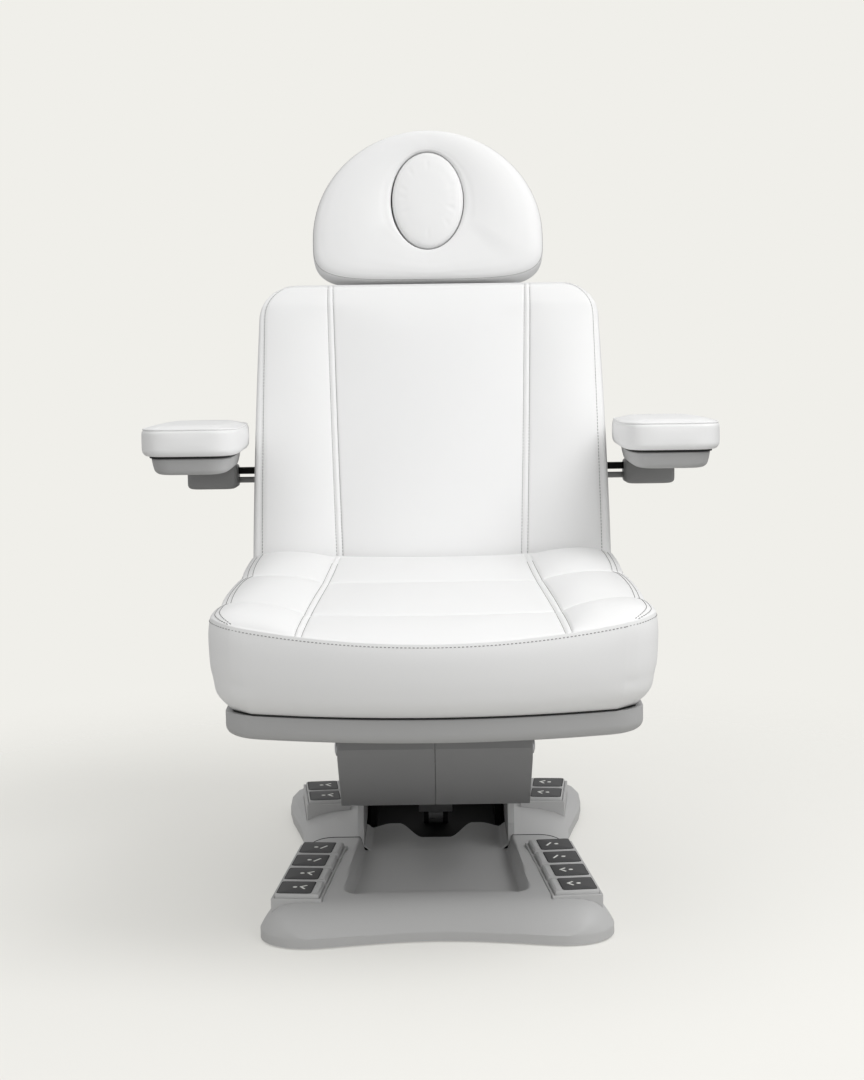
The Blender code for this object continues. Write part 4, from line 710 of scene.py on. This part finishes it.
# The headrest needs room above the cushion to tilt forward
for grid in back_grids:
    over = np.maximum(grid[..., 2] - BACK_TOP, 0)
    grid[..., 2] -= over - TOP_PROUD * np.tanh(over / TOP_PROUD)
back_grids = [from_back(grid) for grid in back_grids]
back = skin("back_upholstery", back_grids, leather, "backrest", ["back_cushion"])
run_v = np.linspace(0.02, BACK_LONG - 0.004, 160)
lines = mirrored((BACK_SEAM - THREAD_OFF, BACK_SEAM + THREAD_OFF), run_v)
lines += mirrored((BACK_HALF - EDGE_THREAD,), run_v)
skin("back_stitching", stitches(back_grids[0], fine_u, fine_v, lines, (0, -1, 0)), thread, "backrest")

# %% [markdown]
# ## Headrest and its plug
# A domed pad with an oval opening for the face when someone lies on their front, closed by a plug of the
# same leather. The pad is a ring: its section runs up the opening's wall, over the crown, down the boxing
# and back.


# %% The headrest and its plug
HEAD_FOOT = BACK_TOP + 0.0085
HEAD_MIDDLE, HEAD_HALF, HEAD_HIGH, HEAD_LOW = HEAD_FOOT + 0.075, 0.195, 0.189, 0.075
HOLE_MIDDLE, HOLE_HALF, HOLE_TALL, PLUG_SIZE = HEAD_FOOT + 0.1375, 0.062, 0.087, 0.975


def head_ring(turn, share, y, draw):
    """Ring between the opening (share 0) and the loaf outline (share 1).

    The outline is |x/a|^n + |z/b|^n = 1, with n = 2 above its middle and 4.3 below it.
    """
    c, s = np.cos(turn), np.sin(turn)
    power, tall = np.where(s > 0, 2.0, 4.3), np.where(s > 0, HEAD_HIGH, HEAD_LOW)
    size = (np.abs(c / HEAD_HALF) ** power + np.abs(s / tall) ** power) ** (-1 / power) - draw
    x0, z0 = HOLE_HALF * c, HOLE_MIDDLE + HOLE_TALL * s
    x1, z1 = size * c, HEAD_MIDDLE + size * s
    return xyz(x0 + (x1 - x0) * share, y + 0 * turn, z0 + (z1 - z0) * share)


def finer(section, count, scale=1.0):
    """A section's rows read off at more places, evenly along its length, which the scale weighs."""
    section = np.array(section, float)
    run = run_along(section * scale)
    return weights(run, np.linspace(0, run[-1], count)) @ section


# Rows of the section: share of the way out, depth y, and how far the outline is drawn in
head_section = [(0, -0.0003, 0), (0, -0.030, 0), (0, -0.060, 0), (0, -0.079, 0), (0.006, -0.0838, 0),
                (0.03, -0.0866, 0), (0.10, -0.0878, 0), (0.25, -0.0886, 0), (0.5, -0.0892, 0),
                (0.72, -0.0890, 0), (0.87, -0.0868, 0), (0.95, -0.0830, 0), (0.988, -0.0775, 0),
                (1, -0.070, 0), (1, -0.052, 0), (1, -0.030, 0.001), (1, -0.012, 0.006), (1, -0.0003, 0.014),
                (0.5, -0.0003, 0.010), (0, -0.0003, 0)]
turn = np.linspace(-np.pi / 2, 1.5 * np.pi, 217)
rows = finer(head_section, 133, [0.12, 1, 1])
rows[:, 0] = np.clip(rows[:, 0], 0, 1)
grid = head_ring(turn[:, None], rows[None, :, 0], rows[None, :, 1], rows[None, :, 2])
at = np.arange(133)
rim = np.argmin(np.abs(rows[:, 1] + 0.067) + (rows[:, 0] < 0.99))
held = (rows[:, 1] > -0.035) | (rows[:, 0] < 0.04) | (np.abs(at - rim) < 3)
blown = blow_rings(grid, held, 0.003)
below = soft_step((-np.sin(turn) - 0.25) / 0.2)[:, None, None]
grid = blown + 0.85 * below * (grid - blown)
grid[..., 1] -= groove(at - rim, 1.2, 0.0016)[None]
head = skin("headrest_upholstery", [from_back(grid)], leather, "headrest", ["headrest_cushion"])
line = (np.linspace(turn[0], turn[-1], 600), np.full(600, rim - 3.0))
sewn = stitches(from_back(grid), turn, at, [line], (0, -1, 0))
skin("headrest_stitching", sewn, thread, "headrest")
# Rows of the plug's section: share of the opening's size, and depth y
plug_section = [(0, -0.018), (PLUG_SIZE, -0.018), (PLUG_SIZE, -0.050), (PLUG_SIZE, -0.078), (0.966, -0.0828),
                (0.935, -0.0858), (0.86, -0.0874), (0.60, -0.0886), (0.30, -0.0891), (0, -0.0893)]
rows = finer(plug_section, 61, [0.07, 1])
rows[:, 0] = np.clip(rows[:, 0], 0, PLUG_SIZE)
c, s = np.cos(turn)[:, None], np.sin(turn)[:, None]
x = HOLE_HALF * c * rows[:, 0] + 0.0008
z = HOLE_MIDDLE + 0.0010 + HOLE_TALL * s * rows[:, 0]
grid = xyz(x, rows[:, 1] + 0 * c, z)
grid = blow_rings(grid, rows[:, 1] > -0.080, 0.002)
plug = skin("headrest_plug_upholstery", [from_back(grid)], leather, "headrest_plug", ["headrest_plug"])

# %% [markdown]
# ## Armrest pads
# Each pad is a long foam block under a top panel and a boxing strip, sewn together just under the upper
# edge.


# %% The armrest pads
PAD_FRONT, PAD_REAR = shift - 0.140, shift + 0.290
PAD_INNER, PAD_WIDTH, PAD_FOOT, PAD_TOP = 0.307, 0.156, 0.6555, 0.700
SHELL_FOOT, PIPING, TOE_IN, PAD_TIP = 0.6268, 0.0016, 0.013, math.radians(3.2)
# Rows of the pad's section: margin from the outline, and share of the height
PAD_SECTION = [(0.078, 0), (0.012, 0), (0.005, 0.03), (0.001, 0.14), (0, 0.35), (0, 0.72), (0.0008, 0.87),
               (0.0030, 0.955), (0.0085, 0.995), (0.022, 1.010), (0.045, 1.016), (0.078, 1.020)]
# Section of the black ring under each pad's foot, painted shadow: margin from the outline, and height from
# the foot
PAD_SHADOW_BAND = np.array([(0.0115, -0.0022), (0.0115, 0.0004), (0.022, 0.0004), (0.022, -0.0022),
                     (0.0115, -0.0022)])
PAD_POWER = 2 / 0.36


def raised(points):
    """Tips points up by 3.2 degrees about the armrests' pivot."""
    return leaned(points - arm_pivot, PAD_TIP) + arm_pivot


def pad_rings(side, section, count):
    """Loops |x/a|^n + |y/b|^n = 1 drawn in by each row's margin, at that row's height, toed in by 13 mm."""
    c, s = loop(count, PAD_POWER, np.pi / 2)
    margin, z = np.array(section).T
    y = (PAD_FRONT + PAD_REAR) / 2 + ((PAD_REAR - PAD_FRONT) / 2 - margin) * s
    toe = TOE_IN * (PAD_REAR - y) / (PAD_REAR - PAD_FRONT)
    x = PAD_INNER + PAD_WIDTH / 2 - toe + np.maximum(PAD_WIDTH / 2 - margin, 0) * c
    return raised(xyz(side * x, y, z + 0 * c))


rise = PAD_TOP - PAD_FOOT
rows = finer([(margin, PAD_FOOT + rise * share) for margin, share in PAD_SECTION], 91)
rows[:, 0] = np.clip(rows[:, 0], 0, PAD_WIDTH / 2)
at = np.arange(91)
seam = np.argmin(np.abs(rows[:, 1] - PAD_FOOT - 0.94 * rise) + (at > 75))
rows[:, 0] -= groove(at - seam, 1.1, 0.0020)
held = (rows[:, 1] < PAD_FOOT + 0.003) | (np.abs(at - seam) < 2)
cord = np.hstack(loop(13)) * PIPING + rows[seam] - [0.0010, 0]
for side, word in SIDES:
    grid = blow_rings(pad_rings(side, rows, 241), held, 0.0025)
    pad = skin(f"armrest_pad_{word}_upholstery", [grid], leather, f"armrest_{word}", [f"armrest_pad_{word}"])
    skin(f"armrest_{word}_piping", [pad_rings(side, cord, 241)], leather, f"armrest_{word}")
    # A black ring under the pad's foot: painted shadow of the pad's edge where it overhangs the shell
    grid = pad_rings(side, PAD_SHADOW_BAND + [0, PAD_FOOT - 0.0005], 161)
    skin(f"armrest_{word}_edge_band", [grid], rubber, f"armrest_{word}", sharp=40)

# %% [markdown]
# ## Foot keys
# Each key is a grey cap with a soft dark face let into it, a grip strip of small ribs at its inner end and
# a white pictogram: a dot with one stroke, or a dot with two. The dark line round the face is painted shade
# for the gap it sits in: a black rubber slab a little wider than the face, under it.


# %% Key faces, grip ribs and pictograms
POD_SPLAY, FACE_OUT, SLAB_EDGE = math.radians(5.3), 0.0048, 0.0005


def slab(a, b, low, high, power=6.0, count=41):
    """A flat block: loops |x/a|^n + |y/b|^n = 1 from low to high, rounded at the top, and closed."""
    c, s = loop(count, power)
    shut = min(a, b)
    margin = np.array([shut, 0, 0, 0.3 * SLAB_EDGE, SLAB_EDGE, shut])
    z = np.array([low, low, high - SLAB_EDGE, high - 0.3 * SLAB_EDGE, high, high])
    return xyz((a - margin) * c, (b - margin) * s, z + 0 * c)


def turned(grid, angle, place):
    """Turns a grid about Z and moves it to its place."""
    x, y, z = np.moveaxis(grid, -1, 0)
    c, s = math.cos(angle), math.sin(angle)
    return xyz(x * c - y * s, x * s + y * c, z) + place


for name in sorted(name for name in nodes if name.startswith("foot_key")):
    low, high = (np.array(corner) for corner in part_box(name))
    side = 1 if "right" in name else -1
    splay = side * (POD_SPLAY if "front" in name else -POD_SPLAY)
    place = np.array([(low[0] + high[0]) / 2, (low[1] + high[1]) / 2, high[2]])
    inward = np.array([-side, 0, 0])
    # The first slab is black rubber a little wider than the face: painted shade for the gap round the face
    grids = [slab(0.0258, 0.0312, -0.001, 0.0002, power=14, count=61) - FACE_OUT * inward,
             slab(0.0244, 0.0298, -0.001, 0.0006, power=14, count=61) - FACE_OUT * inward]
    grids.append(slab(0.0034, 0.0034, 0, 0.0009, power=2) - 0.007 * inward)
    strokes = [(0.005, 0.0, 0.50)] if name[-1] in "34" else [(0.005, 0.005, 0.85), (0.005, -0.004, -0.55)]
    for across, along, lean in strokes:
        long = 0.0095 if len(strokes) == 1 else 0.0066
        grids.append(turned(slab(0.0017, long, 0, 0.0009), -lean, across * inward + [0, along, 0]))
    marks = len(grids)
    rib = slab(0.0036, 0.0013, -0.001, 0.0008, power=4, count=25) + 0.0262 * inward
    grids += [rib + [0, along, 0] for along in np.linspace(-0.025, 0.025, 11)]
    kinds = [0, 1] + [2] * (marks - 2) + [3] * (len(grids) - marks)
    skin(name.replace("foot_key", "key_face"), [turned(grid, splay, place) for grid in grids],
         [rubber, rubber_key, print_white, grey], name, kinds=kinds)

# %% [markdown]
# ## Moulded base cover
# The front cover is one shallow moulding: a rim all round, a shoulder that swells up from it, and a trough
# down the middle for the arm, whose floor dips to the rear and whose walls run out softly in front. It is
# a height over a plan, with an underside one wall lower.

# %% The front cover
COVER_FRONT, COVER_SEAM = shift - 0.464, shift - 0.035
COVER_FOOT, COVER_RIM, COVER_TOP, COVER_WALL = 0.002, 0.022, 0.050, 0.004
COVER_ROUND, COVER_HOLLOW, COVER_LIP, SHOULDER = 0.080, 0.029, shift - 0.390, 0.064
TROUGH_HALF, TROUGH_TAPER, TROUGH_ROUND, TROUGH_DEPTH = 0.117, 0.024 / 0.592, 0.035, 0.022
POD_X, POD_Y, POD_HALF, POD_LONG, POD_DEPTH = 0.190, shift - 0.2635, 0.037, 0.149, 0.013


def cover_half(y):
    """Half the width at y: 217 mm at the waist, 265 mm in front."""
    share = np.clip((shift + 0.040 - y) / 0.485, 0, 1)
    return 0.217 + 0.048 * share**1.5


def cover_skin(s, v):
    """Points of the outside, for s from -1 to 1 across and v from 0 in front to 1 at the seam.

    The front edge is hollow by (1 - t^2)^1.5 of its half length t, and its corners are quarter circles.
    The height is a shoulder, 1 - (1 - d)^3 of the distance d to the rim, less the trough and the key pods.
    """
    half = cover_half(COVER_FRONT)
    bay = (s * half - s**3 * COVER_ROUND) / (half - COVER_ROUND)
    near = COVER_FRONT + COVER_HOLLOW * np.maximum(1 - bay**2, 0) ** 1.5
    y = near + (COVER_SEAM - near) * v
    cut = cut_corner(1 - (y - near) / COVER_ROUND, COVER_ROUND)
    x = s * cover_half(y) - s**3 * cut
    beside = np.maximum(cover_half(y) - cut - np.abs(x), 1e-6)
    ahead = np.maximum(y - near, 1e-6)
    d = np.clip(beside * ahead / np.hypot(beside, ahead) / SHOULDER, 0, 1)
    top = COVER_TOP + 0.0085 * soft_step((COVER_SEAM - y) / 0.15)
    rim = COVER_RIM - 0.0065 * soft_step((COVER_SEAM - y) / 0.20)
    z = rim + (top - rim) * (1 - (1 - d) ** 3)
    wall = TROUGH_HALF - TROUGH_TAPER * (y - shift)
    wall = wall - cut_corner(1 - (y - COVER_LIP) / TROUGH_ROUND, TROUGH_ROUND)
    inside = soft_step((wall - np.abs(x)) / 0.009 + 0.5)
    fall = 0.13 - 0.07 * np.minimum(np.abs(x) / wall, 1) ** 4
    z = z - (TROUGH_DEPTH + top - COVER_TOP) * inside * soft_step((y - COVER_LIP) / fall)
    px, py, c, t = np.abs(x) - POD_X, y - POD_Y, math.cos(POD_SPLAY), math.sin(POD_SPLAY)
    pod = np.minimum(POD_HALF - np.abs(px * c + py * t), POD_LONG - np.abs(py * c - px * t))
    return xyz(x, y, z - POD_DEPTH * soft_step(pod / 0.004))


ease = np.sin(np.linspace(-np.pi / 2, np.pi / 2, 221))
s = (0.6 * ease + 0.4 * np.linspace(-1, 1, 221))[:, None]
v = (1 - np.cos(np.linspace(0, np.pi / 2, 150)))[None]
top = cover_skin(s, v)
under = cover_skin(s * (1 - COVER_WALL / 0.24), 0.012 + v * 0.988)
under[..., 2] = np.minimum(top[..., 2], under[..., 2]) - COVER_WALL
strips = []
for outer, inside in ((top[:, 0], under[:, 0]), (top[0], under[0]), (top[-1], under[-1])):
    foot, step = outer.copy(), inside.copy()
    foot[:, 2], step[:, 2] = COVER_FOOT, COVER_FOOT
    wall = [outer, 0.8 * outer + 0.2 * foot, 0.2 * outer + 0.8 * foot, foot, step, inside]
    strips.append(np.stack(wall, 1))
strips.append(np.stack([top[:, -1], under[:, -1]], 1))
skin("front_cover", [top, under, *strips], grey, "base", ["base_front_cover"], sharp=50)

# %% [markdown]
# ## Seam of the base covers, and the trough behind it
# The two covers meet on a dark line of shade, painted as a thin black strip from the edge to the trough and
# on along the foot of the cheeks. Behind it the trough's floor goes on into the opening under the arm, with
# a soft notch in the middle.

# %% The painted shade in the seam of the covers
path = cover_skin(np.linspace(0.530, 0.985, 80), np.ones(80))
behind = path[0] + xyz(-0.0010, np.linspace(0.075, 0.002, 30), 0)
path = np.concatenate([behind, path])
x, y, z = (path[:, c : c + 1] for c in range(3))
c, s = (0.0009 * part.T for part in loop(9))
size = np.ones((len(path), 1))
size[[0, -1]] = 0
for side, word in SIDES:
    skin(f"cover_seam_shade_{word}", [xyz(side * x, y + size * c, z + size * s)], rubber, "base")

# %% The trough's floor behind the seam
s = np.linspace(-1, 1, 121)[:, None]
v = np.linspace(0, 1, 60)[None]
half = 0.1155
off = np.abs(s) * half
hump = soft_step((off - 0.022) / 0.040) * (1 - 0.35 * soft_step((off - 0.075) / 0.040))
y = COVER_SEAM + 0.0002 + (0.090 + 0.092 * hump) * v
x = s * half + 0 * v
z = 0.0280 - 0.0035 * soft_step(v) + 0.008 * soft_step((np.abs(x) - 0.104) / 0.0115)
top, under = xyz(x, y, z), xyz(x, y, z - 0.003)
edges = [np.stack([top[at], under[at]], 1) for at in (np.s_[:, 0], np.s_[:, -1], 0, -1)]
skin("trough_floor", [top, under, *edges], grey, "base", sharp=50)

# %% [markdown]
# ## Edges of the other mouldings
# No moulded or bent piece has a knife edge. The pedal housings, keys, arm shrouds, rear covers and back shell
# keep the shape of their solids, and a copy of each gets smooth faces and a small radius along its edges.


# %% Round the edges of rigid pieces
def softened(name, radius, coat, fold=35):
    """A copy of a solid's mesh, merged, its edges rounded to that radius where it folds by more degrees."""
    mesh = nodes[name].data.copy()
    work = bmesh.new()
    work.from_mesh(mesh)
    bmesh.ops.remove_doubles(work, verts=work.verts, dist=WELD)
    bmesh.ops.dissolve_limit(work, angle_limit=math.radians(1.0), verts=work.verts, edges=work.edges)
    work.to_mesh(mesh)
    work.free()
    mesh.materials.clear()
    mesh.materials.append(coat)
    mesh.shade_smooth()
    mesh.set_sharp_from_angle(angle=math.radians(fold))
    made = placed(f"{name}_moulding", mesh)
    edges = made.modifiers.new("edges", "BEVEL")
    setup(edges, width=radius, segments=3, limit_method="ANGLE", angle_limit=math.radians(fold),
          harden_normals=True)
    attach(made, nodes[name]["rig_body"])
    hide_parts(name)
    print(f"{made.name}: edges {1000 * radius:.1f} mm")


edge_of = {"pedal_housing": (0.0012, grey), "arm_shroud": (0.0025, dark, 64), "foot_key": (0.0004, grey),
           "base_rear_cover": (0.0015, grey), "back_shell": (0.0015, grey)}
for name in sorted(nodes):
    for start in edge_of:
        if name.startswith(start):
            softened(name, *edge_of[start])

# %% [markdown]
# ## Seat pan
# The pan under the seat is a formed tray: a flat floor with a slot for the tilt jack, a rounded lower edge
# and a wall on three sides. Its plan is one closed path, and its section runs from the slot outwards, up,
# and back inside.

# %% The seat pan
PAN_LOW, PAN_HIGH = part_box("seat_pan")[0].z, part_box("seat_pan")[1].z
PAN_HALF, PAN_CORNER, PAN_REAR, PAN_WALL = 0.2905, 0.035, shift + 0.048, 0.004
PAN_EDGE, PAN_DROP = 0.016, 0.0055


def pan_path(inset):
    """The plan drawn in by the inset: front y = bow * x^2 with round corners, then the sides and the rear."""
    half = PAN_HALF - inset
    straight = half - PAN_CORNER
    corner = straight + PAN_CORNER * np.sin(np.linspace(np.pi / 2, 0, 14))
    x = np.concatenate([-corner, np.linspace(-straight, straight, 61)[1:-1], corner[::-1]])
    near = np.clip((np.abs(x) - straight) / PAN_CORNER, 0, 1)
    y = SEAT_FRONT + SEAT_BOW * (x / FRONT_HALF) ** 2 + 0.030 + inset + 0.9 * cut_corner(near, PAN_CORNER)
    back = np.linspace(y[0], PAN_REAR - inset, 40)[1:]
    rear = np.linspace(half, -half, 40)
    x = np.concatenate([x, np.full(39, half), rear, np.full(39, -half), x[:1]])
    y = np.concatenate([y, back, np.full(40, PAN_REAR - inset), back[::-1], y[:1]])
    return np.stack([x, y], -1)


def pan_floor(path):
    """Height of the underside: flat, and 5.5 mm lower in front of the arm by a soft step."""
    return PAN_LOW - PAN_DROP * soft_step((shift - 0.345 - path[:, 1]) / 0.10)


slot = np.array([0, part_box("tilt_jack")[0].y / 2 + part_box("tilt_jack")[1].y / 2])
ring = pan_path(PAN_EDGE) - slot
ring = slot + 0.024 * ring / np.linalg.norm(ring, axis=1, keepdims=True)
low = pan_floor(pan_path(0))
high = np.full(len(low), PAN_HIGH)
high[-80:-40] = PAN_LOW + PAN_WALL + 0.0005
section = []
for share in np.linspace(0, 1, 10):
    path = ring + (pan_path(PAN_EDGE) - ring) * share
    section.append((path, pan_floor(path)))
for turn in np.linspace(0, np.pi / 2, 10)[1:]:
    path = pan_path(PAN_EDGE * (1 - math.sin(turn)))
    section.append((path, np.minimum(low + PAN_EDGE * (1 - math.cos(turn)), high)))
for inset, drop in ((0, 0.001), (0.0003, 0.0003), (0.001, 0), (0.009, 0), (0.010, 0.001)):
    section.append((pan_path(inset), high - drop))
for share in np.linspace(1, 0, 10):
    path = ring + (pan_path(0.012) - ring) * share
    section.append((path, pan_floor(path) + PAN_WALL))
section.append(section[0])
grid = np.stack([xyz(path[:, 0], path[:, 1], z) for path, z in section], 1)
skin("seat_pan_tray", [grid], tray_grey, "seat", ["seat_pan"], sharp=50)

# %% [markdown]
# ## Armrest shells and hubs
# Under each pad lies a boat-shaped moulding, and under its rear a hub box. The hub turns on the pin of the
# back frame and carries a short bar below it.

# %% The armrest shells and hubs
HUB_INNER, HUB_OUTER, HUB_FOOT = 0.327, 0.411, 0.587
STOP_DROP, STOP_RADIUS, STOP_INNER = 0.016, 0.005, 0.2855
SHELL_SECTION = [(0.078, 0), (0.030, 0), (0.0240, 0.05), (0.0198, 0.18), (0.0168, 0.50), (0.0150, 0.85),
                 (0.0145, 1), (0.022, 1), (0.078, 1)]


def hub_rings(side):
    """Loops |x/a|^7 + |z/b|^7 = 1 from the hub's front to its rear, drawn in at both ends."""
    c, s = loop(73, 7)
    half, tall = (HUB_OUTER - HUB_INNER) / 2, (SHELL_FOOT + 0.003 - HUB_FOOT) / 2
    near, far = arm_pivot[1] - 0.034, arm_pivot[1] + 0.030
    margin = np.array([tall, 0.006, 0.0018, 0, 0, 0.0018, 0.006, tall])
    y = np.array([near, near, near + 0.0018, near + 0.006, far - 0.006, far - 0.0018, far, far])
    x = (HUB_INNER + HUB_OUTER) / 2 + (half - margin) * c
    z = HUB_FOOT + tall + (tall - margin) * s
    return raised(xyz(side * x, y + 0 * c, z))


def stop_bar(side):
    """A round bar along X below the pivot pin, closed at both ends."""
    c, s = loop(25)
    r = STOP_RADIUS * np.array([0, 0.9, 1, 1, 0.9, 0])
    end = HUB_INNER + 0.0045
    x = np.array([STOP_INNER, STOP_INNER, STOP_INNER + 0.0006, end - 0.0005, end, end])
    y = arm_pivot[1] - STOP_DROP * math.sin(BACK_LEAN) + r * c
    z = arm_pivot[2] - STOP_DROP * math.cos(BACK_LEAN) + r * s
    return xyz(side * x, y, z)


tall = PAD_FOOT - 0.0033 - SHELL_FOOT
rows = finer([(margin, SHELL_FOOT + tall * share) for margin, share in SHELL_SECTION], 60)
rows[:, 0] = np.clip(rows[:, 0], 0.0143, PAD_WIDTH / 2)
rows[:, 1] = np.clip(rows[:, 1], SHELL_FOOT, SHELL_FOOT + tall)
for side, word in SIDES:
    grid = pad_rings(side, rows, 161)
    skin(f"armrest_{word}_shell", [grid], tray_grey, f"armrest_{word}", [f"armrest_shell_{word}"])
    skin(f"armrest_{word}_hub", [hub_rings(side), stop_bar(side)], arm_grey, f"armrest_{word}",
         [f"armrest_hub_{word}"], sharp=50)
